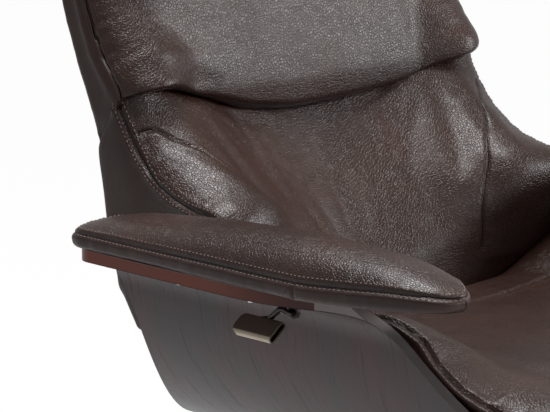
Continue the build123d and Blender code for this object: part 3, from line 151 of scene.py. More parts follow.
def outward(thing: bpy.types.Object) -> None:
    """Turns a closed mesh's faces outwards, by the sign of its volume."""
    mesh = thing.data
    mesh.calc_loop_triangles()
    co = points_of(mesh)
    tri = np.zeros(len(mesh.loop_triangles) * 3, int)
    mesh.loop_triangles.foreach_get("vertices", tri)
    a, b, c = (co[tri.reshape(-1, 3)[:, k]] for k in range(3))
    if (np.cross(a, b) * c).sum() < 0:
        mesh.flip_normals()


def even(points: np.ndarray, count: int) -> np.ndarray:
    """Respaces the points of a line evenly along it."""
    run = np.concatenate([[0], np.cumsum(np.linalg.norm(np.diff(points, axis=0), axis=1))])
    at = np.linspace(0, run[-1], count)
    return np.stack([np.interp(at, run, points[:, k]) for k in range(points.shape[1])], axis=1)


def dense(path: np.ndarray, step: float = 0.0004) -> np.ndarray:
    """Respaces a path in metres finely, so that its nearest point is its nearest place."""
    length = np.linalg.norm(np.diff(path, axis=0), axis=1).sum()
    return even(path, max(8, int(length / step)))


def path_tree(path: np.ndarray) -> kdtree.KDTree:
    """A search tree over the points of a path."""
    tree = kdtree.KDTree(len(path))
    for i, p in enumerate(path):
        tree.insert(Vector(p), i)
    tree.balance()
    return tree


def mark_seams(thing: bpy.types.Object, seams: Iterable[np.ndarray], reach: float = 0.03) -> None:
    """Writes each point's signed distance to the nearest seam line, for the leather's shader.

    Args:
        thing: the piece.
        seams: dense paths that lie on it.
        reach: the distance at which the value stops growing.
    """
    mesh = thing.data
    co = points_of(mesh)
    best = np.full(len(co), reach)
    for path in map(dense, seams):
        tree = path_tree(path)
        ahead = np.gradient(path, axis=0)
        low, high = path.min(axis=0) - reach, path.max(axis=0) + reach
        near = np.all((co > low) & (co < high), axis=1)
        for i in np.nonzero(near)[0]:
            _, k, far = tree.find(Vector(co[i]))
            if far >= abs(best[i]):
                continue
            if k in (0, len(path) - 1) and far > 0.0008:
                continue
            offset = co[i] - path[k]
            across = np.cross(ahead[k], np.array(mesh.vertices[int(i)].normal))
            best[i] = math.copysign(far, float(offset @ across))
    mesh.attributes.new("seam", "FLOAT", "POINT").data.foreach_set("value", best)


# ---------------------------------------------------------------- shader maths
class Socket:
    """A shader value that takes part in Python expressions."""

    def __init__(self, shade: "Nodes", link: object, kind: str = "value") -> None:
        """Wraps a node output.

        Args:
            shade: the material being built.
            link: the output socket.
            kind: value, colour or vector.
        """
        self.shade, self.link, self.kind = shade, link, kind

    def _math(self, how: str, *others: object) -> "Socket":
        """Adds a Math or Vector Math node for this socket and the others."""
        if self.kind == "vector":
            return self.shade.node("ShaderNodeVectorMath", {"operation": how}, [self, *others], "vector")
        return self.shade.node("ShaderNodeMath", {"operation": how}, [self, *others])

    def __add__(self, other: object) -> "Socket":
        """Sum."""
        return self._math("ADD", other)

    __radd__ = __add__

    def __sub__(self, other: object) -> "Socket":
        """Difference."""
        return self._math("SUBTRACT", other)

    def __rsub__(self, other: float) -> "Socket":
        """Difference from a number."""
        return self.shade.node("ShaderNodeMath", {"operation": "SUBTRACT"}, [other, self])

    def __mul__(self, other: object) -> "Socket":
        """Product."""
        return self._math("MULTIPLY", other)

    __rmul__ = __mul__

    def __truediv__(self, other: object) -> "Socket":
        """Quotient."""
        return self._math("DIVIDE", other)

    def __pow__(self, other: float) -> "Socket":
        """Power."""
        return self._math("POWER", other)

    def __abs__(self) -> "Socket":
        """Size without sign."""
        return self._math("ABSOLUTE")

    def sine(self) -> "Socket":
        """Sine of an angle in radians."""
        return self._math("SINE")

    def root(self) -> "Socket":
        """Square root."""
        return self._math("SQRT")

    def least(self, other: object) -> "Socket":
        """The smaller of two."""
        return self._math("MINIMUM", other)

    def most(self, other: object) -> "Socket":
        """The larger of two."""
        return self._math("MAXIMUM", other)

    def over(self, other: object) -> "Socket":
        """1 where this is greater, else 0."""
        return self._math("GREATER_THAN", other)

    def band(self, low: float, high: float) -> "Socket":
        """Runs smoothly from 0 to 1 between two values."""
        return self.shade.node(
            "ShaderNodeMapRange",
            {"interpolation_type": "SMOOTHSTEP"},
            {"Value": self, "From Min": low, "From Max": high},
        )


class Nodes:
    """A node tree and the one way in which nodes are added to it."""

    def __init__(self, tree: bpy.types.NodeTree) -> None:
        """Takes the tree."""
        self.tree = tree

    def node(
        self,
        kind: str,
        settings: dict,
        inputs: object,
        gives: str = "value",
        output: object = 0,
    ) -> Socket:
        """Adds a node.

        Args:
            kind: the node's type.
            settings: its properties, and for a ramp its stops.
            inputs: values or sockets, by name or in order.
            gives: whether its result is a value, colour or vector.
            output: the output's name or number, None where the node has none.

        Returns:
            The chosen output.
        """
        made = self.tree.nodes.new(kind)
        for key, value in settings.items():
            if key == "stops":
                self._stops(made.color_ramp, value)
            else:
                setattr(made, key, value)
        pairs = inputs.items() if isinstance(inputs, dict) else enumerate(inputs)
        for key, value in pairs:
            self.feed(made.inputs[key], value)
        return Socket(self, None if output is None else made.outputs[output], gives)

    @staticmethod
    def _stops(ramp: bpy.types.ColorRamp, stops: Sequence[tuple[float, Row]]) -> None:
        """Sets a colour ramp's stops."""
        while len(ramp.elements) < len(stops):
            ramp.elements.new(0.5)
        for element, (where, colour) in zip(ramp.elements, stops):
            element.position = where
            element.color = (*colour, 1)

    def feed(self, socket: bpy.types.NodeSocket, value: object) -> None:
        """Links or sets one input."""
        if isinstance(value, Socket):
            self.tree.links.new(value.link, socket)
        elif hasattr(socket.default_value, "__len__") and not isinstance(value, (int, float)):
            size = len(socket.default_value)
            socket.default_value = (*value, 1)[:size] if len(value) < size else value
        else:
            socket.default_value = value


class Shade(Nodes):
    """One material and the nodes in it."""

    def __init__(self, name: str) -> None:
        """Starts a material with a Principled shader."""
        self.material = bpy.data.materials.new(name)
        self.material.use_nodes = True
        super().__init__(self.material.node_tree)
        self.shader = self.tree.nodes["Principled BSDF"]
        self.place = self.node("ShaderNodeTexCoord", {}, {}, "vector", "Object")

    def xyz(self) -> tuple[Socket, Socket, Socket]:
        """The three coordinates in the row frame, in metres."""
        split = self.node("ShaderNodeSeparateXYZ", {}, [self.place])
        outs = split.link.node.outputs
        return tuple(Socket(self, outs[k]) for k in range(3))

    def vector(self, x: object, y: object, z: object) -> Socket:
        """Joins three values into a vector."""
        return self.node("ShaderNodeCombineXYZ", {}, [x, y, z], "vector")

    def cloud(
        self, scale: float, detail: float = 3.0, rough: float = 0.5, at: Socket | None = None
    ) -> Socket:
        """Soft noise from 0 to 1."""
        return self.node(
            "ShaderNodeTexNoise",
            {},
            {"Vector": at or self.place, "Scale": scale, "Detail": detail, "Roughness": rough},
        )

    def cells(self, scale: float, feature: str, at: Socket | None = None, smooth: float = 0.3) -> Socket:
        """Voronoi distance, for pebbles and pores."""
        inputs = {"Vector": at or self.place, "Scale": scale}
        if feature == "SMOOTH_F1":
            inputs["Smoothness"] = smooth
        return self.node("ShaderNodeTexVoronoi", {"feature": feature}, inputs, "value", "Distance")

    def mix(self, share: object, first: object, second: object) -> Socket:
        """Blends two colours."""
        return self.node("ShaderNodeMix", {"data_type": "RGBA"}, {0: share, 6: first, 7: second}, "colour", 2)

    def bump(
        self, height: Socket, distance: float, strength: float = 1.0, under: Socket | None = None
    ) -> Socket:
        """Turns a height into a normal."""
        inputs = {"Height": height, "Distance": distance, "Strength": strength}
        if under is not None:
            inputs["Normal"] = under
        return self.node("ShaderNodeBump", {}, inputs, "vector")

    def finish(self, **sockets: object) -> bpy.types.Material:
        """Sets the shader's sockets, named with underscores for spaces, and returns the material."""
        for name, value in sockets.items():
            self.feed(self.shader.inputs[name.replace("_", " ")], value)
        return self.material


# ---------------------------------------------------------------- finishes
class Slot(Enum):
    """The record's material slots."""

    STAR = "star_aluminium"
    COLUMN = "column_steel"
    BRIGHT = "bright_steel"
    DARK = "dark_steel"
    BRONZE = "bronze_steel"
    BLACK = "black_steel"
    PLASTIC = "black_plastic"
    SHEATH = "cable_sheath"
    PLY = "dark_plywood"
    PALE = "pale_plywood"
    WEBBING = "webbing"
    LEATHER = "dark_leather"


@dataclass(frozen=True)
class Leather:
    """Pebbled or smooth upholstery leather, with the lines of its seams.

    Attributes:
        name: the material's name.
        dark: colour of the pebble cracks, darker there partly as painted shade, and of the darker mottling.
        light: colour of the pebble tops, lighter there partly as painted light, and of the worn spots.
        pebble: cells per metre of the grain.
        grain: height of the grain in metres.
        rough: mean roughness.
    """

    name: str
    dark: Row = (0.0085, 0.0031, 0.0020)
    light: Row = (0.0255, 0.0103, 0.0067)
    pebble: float = 370.0
    grain: float = 0.00018
    rough: float = 0.27

    def build(self) -> bpy.types.Material:
        """Makes the material."""
        s = Shade(self.name)
        warp = s.cloud(70, 2)
        bent = s.node(
            "ShaderNodeVectorMath",
            {"operation": "MULTIPLY_ADD"},
            [s.vector(warp, warp, warp), (0.006, 0.006, 0.006), s.place],
            "vector",
        )
        edge = s.cells(self.pebble, "DISTANCE_TO_EDGE", bent)
        fine = s.cloud(self.pebble * 3, 2)
        pebble = edge.band(0.0, 0.22) * 0.95 + fine * 0.05
        mottle = s.cloud(8, 3)
        wear = s.cloud(34, 4, 0.6)
        # Tone: random mottle and worn spots, plus the pebble pattern, which paints shade into the cracks
        # between pebbles and lightens their tops
        tone = mottle.band(0.3, 0.72) * 0.5 + pebble * 0.4 + wear.band(0.4, 0.8) * 0.15
        colour = s.mix(tone, self.dark, self.light)
        seam = s.node("ShaderNodeAttribute", {"attribute_name": "seam"}, {}, "value", "Fac")
        line = 1 - abs(seam).band(0.0003, 0.0015)
        roll = abs(seam).band(0.0, 0.005)
        colour = s.mix(line * 0.8, colour, (0.004, 0.0025, 0.002))
        normal = s.bump(s.cloud(24, 2), 0.0012, 0.5)
        normal = s.bump(pebble, self.grain, 1.0, normal)
        normal = s.bump(roll - line, 0.0010, 1.0, normal)
        rough = self.rough + (1 - pebble) * 0.16 + (wear - 0.5) * 0.08
        return s.finish(
            Base_Color=colour, Roughness=rough, Normal=normal, Specular_IOR_Level=0.30, IOR=1.46
        )


@dataclass(frozen=True)
class Thread:
    """Waxed sewing thread, twisted."""

    name: str
    colour: Row = (0.160, 0.105, 0.085)

    def build(self) -> bpy.types.Material:
        """Makes the material."""
        s = Shade(self.name)
        twist = s.node(
            "ShaderNodeTexWave", {"bands_direction": "DIAGONAL"}, {"Vector": s.place, "Scale": 900.0}
        )
        colour = s.mix(twist * 0.5, self.colour, [c * 0.45 for c in self.colour])
        normal = s.bump(twist, 0.0001)
        return s.finish(Base_Color=colour, Roughness=0.55 + twist * 0.1, Normal=normal)


@dataclass(frozen=True)
class StainedPly:
    """Dark stained open-grain veneer, with the layers of the plywood showing at its edges.

    The shell's section is a flat, a bend and a flare, so the depth below its outside is worked out
    from the same sizes and the layers follow the curve.
    """

    name: str
    bottom: float = 0.345
    ply: float = 0.012
    flat_half: float = 0.090
    bend: float = 0.240
    wall_angle: float = 76.0
    flare: float = 0.045

    def depth(self, s: Shade, x: Socket, z: Socket) -> tuple[Socket, Socket, Socket, Socket]:
        """Depth in from the shell's outside, distance round the section, and where flange and flare are.

        Args:
            s: the material being built.
            x: place across the chair.
            z: height.

        Returns:
            Depth and distance in metres, then 1 on the flange, else 0, and 1 on the flare, else 0.
        """
        turn = math.radians(self.wall_angle)
        centre_z = self.bottom + self.bend
        flare_x = self.flat_half + (self.bend + self.flare) * math.sin(turn)
        flare_z = centre_z - (self.bend + self.flare) * math.cos(turn)
        half = abs(x)
        out, down = half - self.flat_half, centre_z - z
        bend_depth = self.bend - (out * out + down * down).root()
        in_x, up = flare_x - half, z - flare_z
        flare_depth = (in_x * in_x + up * up).root() - self.flare
        flat_depth = z - self.bottom
        tip_depth = z - (flare_z + self.flare)
        angle = s.node("ShaderNodeMath", {"operation": "ARCTAN2"}, [out, down])
        in_flare = angle.over(turn)
        past_tip = half.over(flare_x)
        in_bend = half.over(self.flat_half)
        curved = bend_depth * (1 - in_flare) + flare_depth * in_flare
        curved = curved * (1 - past_tip) + tip_depth * past_tip
        depth = flat_depth * (1 - in_bend) + curved * in_bend
        turned = s.node("ShaderNodeMath", {"operation": "ARCTAN2"}, [in_x, up])
        wall = angle.least(turn) * self.bend + (turn - turned.least(turn)) * self.flare * in_flare
        run = half.least(self.flat_half) + wall * in_bend + (half - flare_x).most(0.0)
        return depth, run, past_tip, in_flare

    def build(self) -> bpy.types.Material:
        """Makes the material."""
        s = Shade(self.name)
        x, y, z = s.xyz()
        depth, run, flange, flare = self.depth(s, x, z)
        side = x.over(0.0)
        # Grain runs round the section, wandering a little along the chair
        wander = s.cloud(3.2, 2, 0.5, s.vector(run, y * 0.8, side))
        lane = y + (wander - 0.5) * 0.09
        streak = s.cloud(230, 5, 0.62, s.vector(run * 0.035, lane, side * 3.0))
        pore = s.cloud(950, 2, 0.5, s.vector(run * 0.028, lane, side * 5.0))
        figure = s.cloud(16, 3, 0.55, s.vector(run * 0.22, lane, side))
        dark_line = streak.band(0.52, 0.70)
        pit = pore.band(0.60, 0.74) * figure.band(0.35, 0.6)
        face = s.mix(figure.band(0.36, 0.66), (0.0135, 0.0088, 0.0100), (0.0270, 0.0070, 0.0095))
        face = s.mix(dark_line * 0.45, face, (0.010, 0.006, 0.007))
        face = s.mix(pit * 0.7, face, (0.005, 0.003, 0.003))
        # Edge: thin layers, alternately end grain and long grain, under a red-brown stain
        layer = s.node("ShaderNodeMath", {"operation": "SINE"}, [depth * (2 * math.pi / 0.0024)])
        fleck = s.cloud(420, 3, 0.6, s.vector(run * 0.2, y * 0.2, depth))
        edge = s.mix(layer.band(-0.8, 0.8), (0.0075, 0.0035, 0.0032), (0.0130, 0.0055, 0.0045))
        edge = s.mix(fleck.band(0.45, 0.75) * 0.5, edge, (0.0180, 0.0060, 0.0045))
        # Flange edge: red-brown stain with random blotches, darkened towards the front as painted shade under
        # the arm pad's overhang
        rail = s.mix(y.band(-0.15, 0.0), (0.030, 0.0075, 0.0060), (0.105, 0.0170, 0.0050))
        rail = s.mix(s.cloud(7, 2).band(0.3, 0.8) * 0.35, rail, (0.060, 0.0095, 0.0035))
        edge = s.mix(0.6, edge, (0.004, 0.002, 0.002))
        # Painted highlight: a pale grey band on the flare's front edge, at the height where a rounded arris
        # would mirror the overhead light
        edge = s.mix(flare * (1 - flange) * z.band(0.540, 0.556), edge, (0.15, 0.13, 0.125))
        edge = s.mix(flange, edge, rail)
        inside = depth.band(0.00035, 0.0008) * (1 - depth.band(self.ply - 0.0008, self.ply - 0.00035))
        colour = s.mix(inside, face, edge)
        height = ((1 - dark_line) * 0.5 + (1 - pit) * 0.9) * (1 - inside)
        normal = s.bump(height, 0.00022, 0.8)
        rough = 0.42 + dark_line * 0.1 + pit * 0.12 - inside * 0.10
        return s.finish(
            Base_Color=colour, Roughness=rough, Normal=normal, Specular_IOR_Level=0.24, Coat_Weight=0.03,
            Coat_Roughness=0.25,
        )


@dataclass(frozen=True)
class PalePly:
    """Plain birch plywood, as in hidden boards."""

    name: str

    def build(self) -> bpy.types.Material:
        """Makes the material."""
        s = Shade(self.name)
        x, y, z = s.xyz()
        grain = s.cloud(260, 4, 0.6, s.vector(x * 0.04, y, z))
        figure = s.cloud(14, 3, 0.5, s.vector(x * 0.2, y, z))
        layer = s.node("ShaderNodeMath", {"operation": "SINE"}, [z * (2 * math.pi / 0.003)])
        colour = s.mix(grain.band(0.4, 0.7), (0.56, 0.42, 0.27), (0.44, 0.31, 0.19))
        colour = s.mix(figure.band(0.4, 0.7) * 0.4, colour, (0.62, 0.48, 0.32))
        colour = s.mix(layer.band(-0.3, 0.6) * 0.25, colour, (0.36, 0.25, 0.15))
        return s.finish(Base_Color=colour, Roughness=0.6 + grain * 0.1, Normal=s.bump(grain, 0.0001))


@dataclass(frozen=True)
class Metal:
    """Satin or polished metal, brushed or turned.

    Attributes:
        name: the material's name.
        colour: reflectance.
        rough: mean roughness.
        brush: direction weights of the brushing.
        metallic: 1 for bare metal, 0 for a coat.
        texture: height of the surface texture in metres.
    """

    name: str
    colour: Row
    rough: float = 0.3
    brush: Row = (1.0, 1.0, 12.0)
    metallic: float = 1.0
    texture: float = 0.00003

    def build(self) -> bpy.types.Material:
        """Makes the material."""
        s = Shade(self.name)
        x, y, z = s.xyz()
        lines = s.cloud(160, 3, 0.6, s.vector(x * self.brush[0], y * self.brush[1], z * self.brush[2]))
        smudge = s.cloud(14, 3)
        darker = [c * 0.86 for c in self.colour]
        colour = s.mix(smudge.band(0.35, 0.7) * 0.6 + lines * 0.2, self.colour, darker)
        rough = self.rough + (smudge - 0.5) * 0.10 + (lines - 0.5) * 0.08
        return s.finish(
            Base_Color=colour,
            Metallic=self.metallic,
            Roughness=rough,
            Normal=s.bump(lines, self.texture),
        )


@dataclass(frozen=True)
class Moulded:
    """Moulded plastic, rubber sheath or powder coat with a fine spark texture."""

    name: str
    colour: Row = (0.018, 0.018, 0.019)
    rough: float = 0.5
    spark: float = 1300.0
    height: float = 0.00006

    def build(self) -> bpy.types.Material:
        """Makes the material."""
        s = Shade(self.name)
        grain = s.cloud(self.spark, 2)
        dust = s.cloud(20, 3)
        colour = s.mix(dust.band(0.4, 0.75) * 0.5, self.colour, [c * 1.5 for c in self.colour])
        rough = self.rough + (dust - 0.5) * 0.12 + grain * 0.06
        return s.finish(Base_Color=colour, Roughness=rough, Normal=s.bump(grain, self.height))


@dataclass(frozen=True)
class Webbing:
    """Woven elastic strap."""

    name: str

    def build(self) -> bpy.types.Material:
        """Makes the material."""
        s = Shade(self.name)
        x, y, _ = s.xyz()
        warp = (y * 2100.0).sine()
        weft = (x * 1500.0).sine()
        weave = warp.band(-0.8, 0.8) * 0.5 + weft.band(-0.8, 0.8) * 0.5
        colour = s.mix(weave, (0.05, 0.043, 0.036), (0.19, 0.165, 0.14))
        return s.finish(Base_Color=colour, Roughness=0.8 + weave * 0.1, Normal=s.bump(weave, 0.0004))


@dataclass
class Palette:
    """All finishes, built once."""

    pebbled: bpy.types.Material = field(init=False)
    smooth: bpy.types.Material = field(init=False)
    thread: bpy.types.Material = field(init=False)
    metals: dict = field(init=False)

    def __post_init__(self) -> None:
        """Builds the materials."""
        self.pebbled = Leather("pebbled_leather").build()
        self.smooth = Leather(
            "smooth_leather", pebble=620.0, grain=0.00004, rough=0.36,
            dark=(0.0090, 0.0030, 0.0018), light=(0.0230, 0.0084, 0.0052),
        ).build()
        self.thread = Thread("tonal_thread").build()
        self.metals = {
            Slot.STAR: Metal("satin_aluminium", (0.60, 0.60, 0.61), 0.27, (1.0, 1.0, 1.0)).build(),
            Slot.COLUMN: Metal("satin_steel_tube", (0.50, 0.50, 0.51), 0.25, (1.0, 1.0, 14.0)).build(),
            Slot.BRIGHT: Metal("bright_steel", (0.58, 0.58, 0.59), 0.22, (1.0, 12.0, 1.0)).build(),
            Slot.DARK: Metal("dark_bronze_bar", (0.050, 0.045, 0.040), 0.30, (3.0, 1.0, 3.0)).build(),
            Slot.BRONZE: Metal("satin_bronze", (0.300, 0.255, 0.200), 0.34, (9.0, 1.0, 9.0)).build(),
            Slot.BLACK: Moulded("black_powder_coat", (0.020, 0.020, 0.021), 0.42, 900.0, 0.00009).build(),
            Slot.PLASTIC: Moulded("black_nylon").build(),
            Slot.SHEATH: Moulded("cable_sheath", (0.015, 0.015, 0.015), 0.38, 500.0, 0.00002).build(),
            Slot.PLY: StainedPly("stained_plywood").build(),
            Slot.PALE: PalePly("birch_plywood").build(),
            Slot.WEBBING: Webbing("elastic_webbing").build(),
        }


# ---------------------------------------------------------------- sewing
@dataclass
class Sewing:
    """Makes rows of stitches.

    Attributes:
        palette: the finishes.
    """

    palette: Palette

    def row(
        self,
        name: str,
        path: np.ndarray,
        normals: np.ndarray,
        pitch: float = 0.0052,
        length: float = 0.0037,
        radius: float = 0.0005,
        lift: float = 0.0001,
    ) -> bpy.types.Object:
        """Lays stitches along a path, each a short thread that dips into the leather at its ends.

        Args:
            name: the row's name.
            path: dense points on the leather.
            normals: the leather's normal at each point.
            pitch: stitch spacing.
            length: visible length of one stitch.
            radius: radius of the thread.
            lift: height of the thread's line over the leather.

        Returns:
            One mesh object that holds all the stitches.
        """
        run = np.concatenate([[0], np.cumsum(np.linalg.norm(np.diff(path, axis=0), axis=1))])
        starts = np.arange(pitch / 2, run[-1] - length, pitch)
        steps = np.linspace(0, 1, 6)
        dip = np.sin(np.pi * steps) ** 0.6
        points, faces = [], []
        sides = 6
        ring = np.linspace(0, 2 * np.pi, sides, endpoint=False)
        for start in starts:
            at = start + steps * length
            line = np.stack([np.interp(at, run, path[:, k]) for k in range(3)], axis=1)
            up = np.stack([np.interp(at, run, normals[:, k]) for k in range(3)], axis=1)
            up /= np.linalg.norm(up, axis=1, keepdims=True)
            ahead = np.gradient(line, axis=0)
            ahead /= np.maximum(np.linalg.norm(ahead, axis=1, keepdims=True), 1e-9)
            across = np.cross(ahead, up)
            line = line + up * (lift + (dip[:, None] - 1) * radius * 1.6)
            base = len(points)
            for here, u, a, d in zip(line, up, across, dip):
                thick = radius * (0.55 + 0.45 * d)
                points += [here + thick * (math.cos(t) * a + math.sin(t) * u) for t in ring]
            for i in range(len(steps) - 1):
                for j in range(sides):
                    k = (j + 1) % sides
                    a, b = base + i * sides, base + (i + 1) * sides
                    faces.append((a + j, a + k, b + k, b + j))
            faces.append(tuple(base + j for j in reversed(range(sides))))
            faces.append(tuple(base + (len(steps) - 1) * sides + j for j in range(sides)))
        thing = mesh_object(name, np.array(points), faces)
        thing.data.materials.append(self.palette.thread)
        return thing


def settle(thing: bpy.types.Object, body: str, material: bpy.types.Material | None = None,
           nodes: Sequence[str] = ()) -> bpy.types.Object:
    """Gives a piece its finish and its body, hides the CAD nodes that it stands for, and reports it."""
    if material is not None:
        thing.data.materials.append(material)
    if nodes:
        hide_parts(*nodes)
    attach(thing, body)
    log.info("piece %s on %s", thing.name, body)
    return thing


def puff(
    thing: bpy.types.Object,
    hold: Callable[[np.ndarray], np.ndarray],
    pressure: float = 4.0,
    cap: float = 0.012,
    frames: int = 20,
) -> None:
    """Blows a leather piece up a little with a cloth simulation, held at its seams.

    Args:
        thing: the piece, whose mesh is changed.
        hold: gives each point's pinning, from 0, free, to 1, held.
        pressure: pressure inside.
        cap: the most that a point may move, in metres.
        frames: length of the simulation.
    """
    mesh = thing.data
    before = points_of(mesh)
    weights = hold(before)
    group = thing.vertex_groups.new(name="held")
    for i, weight in enumerate(weights):
        group.add([i], float(weight), "REPLACE")
    cloth = thing.modifiers.new("puff", "CLOTH")
    cloth.settings.use_pressure = True
    cloth.settings.uniform_pressure_force = pressure
    cloth.settings.vertex_group_mass = "held"
    cloth.settings.effector_weights.gravity = 0
    cloth.settings.quality = 5
    cloth.settings.tension_stiffness = 20
    cloth.settings.compression_stiffness = 20
    cloth.settings.bending_stiffness = 2
    cloth.collision_settings.use_collision = False
    scene = bpy.context.scene
    for number in range(1, frames + 1):
        scene.frame_set(number)
    graph = bpy.context.evaluated_depsgraph_get()
    after = points_of(thing.evaluated_get(graph).to_mesh())
    thing.evaluated_get(graph).to_mesh_clear()
    thing.modifiers.remove(cloth)
    thing.vertex_groups.clear()
    scene.frame_set(1)
    move = after - before
    size = np.linalg.norm(move, axis=1, keepdims=True)
    move *= np.minimum(1, cap / np.maximum(size, 1e-9))
    mesh.vertices.foreach_set("co", (before + move).ravel())
    mesh.update()
    log.info("puffed %s by up to %.1f mm", thing.name, 1000 * float(np.minimum(size, cap).max()))


# ---------------------------------------------------------------- shaping leather
def arc(first: Row, middle: Row, last: Row, count: int) -> np.ndarray:
    """Points of the circle arc through three points in a plane.

    Args:
        first: where it starts.
        middle: a point that it passes.
        last: where it ends.
        count: how many points.

    Returns:
        An array of count by two.
    """
    a, b, c = (np.asarray(p, float) for p in (first, middle, last))
    turn = 2 * ((b - a)[0] * (c - a)[1] - (b - a)[1] * (c - a)[0])
    if abs(turn) < 1e-6:
        return a + (c - a) * np.linspace(0, 1, count)[:, None]
    sides = np.array([(b - a) @ (b + a), (c - a) @ (c + a)])
    matrix = 2 * np.array([b - a, c - a])
    centre = np.linalg.solve(matrix, sides)
    angles = [math.atan2(*(p - centre)[::-1]) for p in (a, b, c)]
    way = 1 if turn > 0 else -1
    sweep = (way * (angles[2] - angles[0])) % (2 * math.pi)
    at = angles[0] + way * np.linspace(0, sweep, count)
    return centre + np.linalg.norm(a - centre) * np.stack([np.cos(at), np.sin(at)], axis=1)


def sweep(points: Sequence[Row], count: int) -> np.ndarray:
    """Even points of the cubic curve that four points steer."""
    a, b, c, d = (np.asarray(p, float) for p in points)
    t = np.linspace(0, 1, 60)[:, None]
    return even(a * (1 - t) ** 3 + 3 * b * t * (1 - t) ** 2 + 3 * c * t**2 * (1 - t) + d * t**3, count)


def zip_rows(row: np.ndarray, steps: Row, bulge: Row) -> list[np.ndarray]:
    """Rows that close the end of a tube of points by drawing its two halves together.

    Args:
        row: the last ring, whose halves pair up, first with last.
        steps: how far each new row has come, up to 1 where the halves meet.
        bulge: which way the closing panel swells.

    Returns:
        The new rows, outermost first.
    """
    partner = row[::-1]
    middle = (row + partner) / 2
    swell = np.asarray(bulge, float)
    return [row + (middle - row) * u + swell * math.sqrt(max(0.0, 1 - (1 - u) ** 2)) for u in steps]


def closed(grid: Grid, steps: Row, first: Row, last: Row) -> Grid:
    """Closes both ends of a tube of points."""
    head = zip_rows(grid[0], steps, first)[::-1]
    return np.stack([*head, *grid, *zip_rows(grid[-1], steps, last)])


def fused(thing: bpy.types.Object, gap: float = 0.00005) -> bpy.types.Object:
    """Joins points that lie on each other."""
    work = bmesh.new()
    work.from_mesh(thing.data)
    bmesh.ops.remove_doubles(work, verts=work.verts, dist=gap)
    bmesh.ops.recalc_face_normals(work, faces=work.faces)
    work.to_mesh(thing.data)
    work.free()
    thing.data.polygons.foreach_set("use_smooth", [True] * len(thing.data.polygons))
    outward(thing)
    return thing


def refined(thing: bpy.types.Object) -> bpy.types.Object:
    """Subdivides a piece once, smoothly."""
    step = thing.modifiers.new("fine", "SUBSURF")
    step.levels = step.render_levels = 1
    graph = bpy.context.evaluated_depsgraph_get()
    mesh = bpy.data.meshes.new_from_object(thing.evaluated_get(graph))
    thing.modifiers.remove(step)
    thing.data = mesh
    return thing


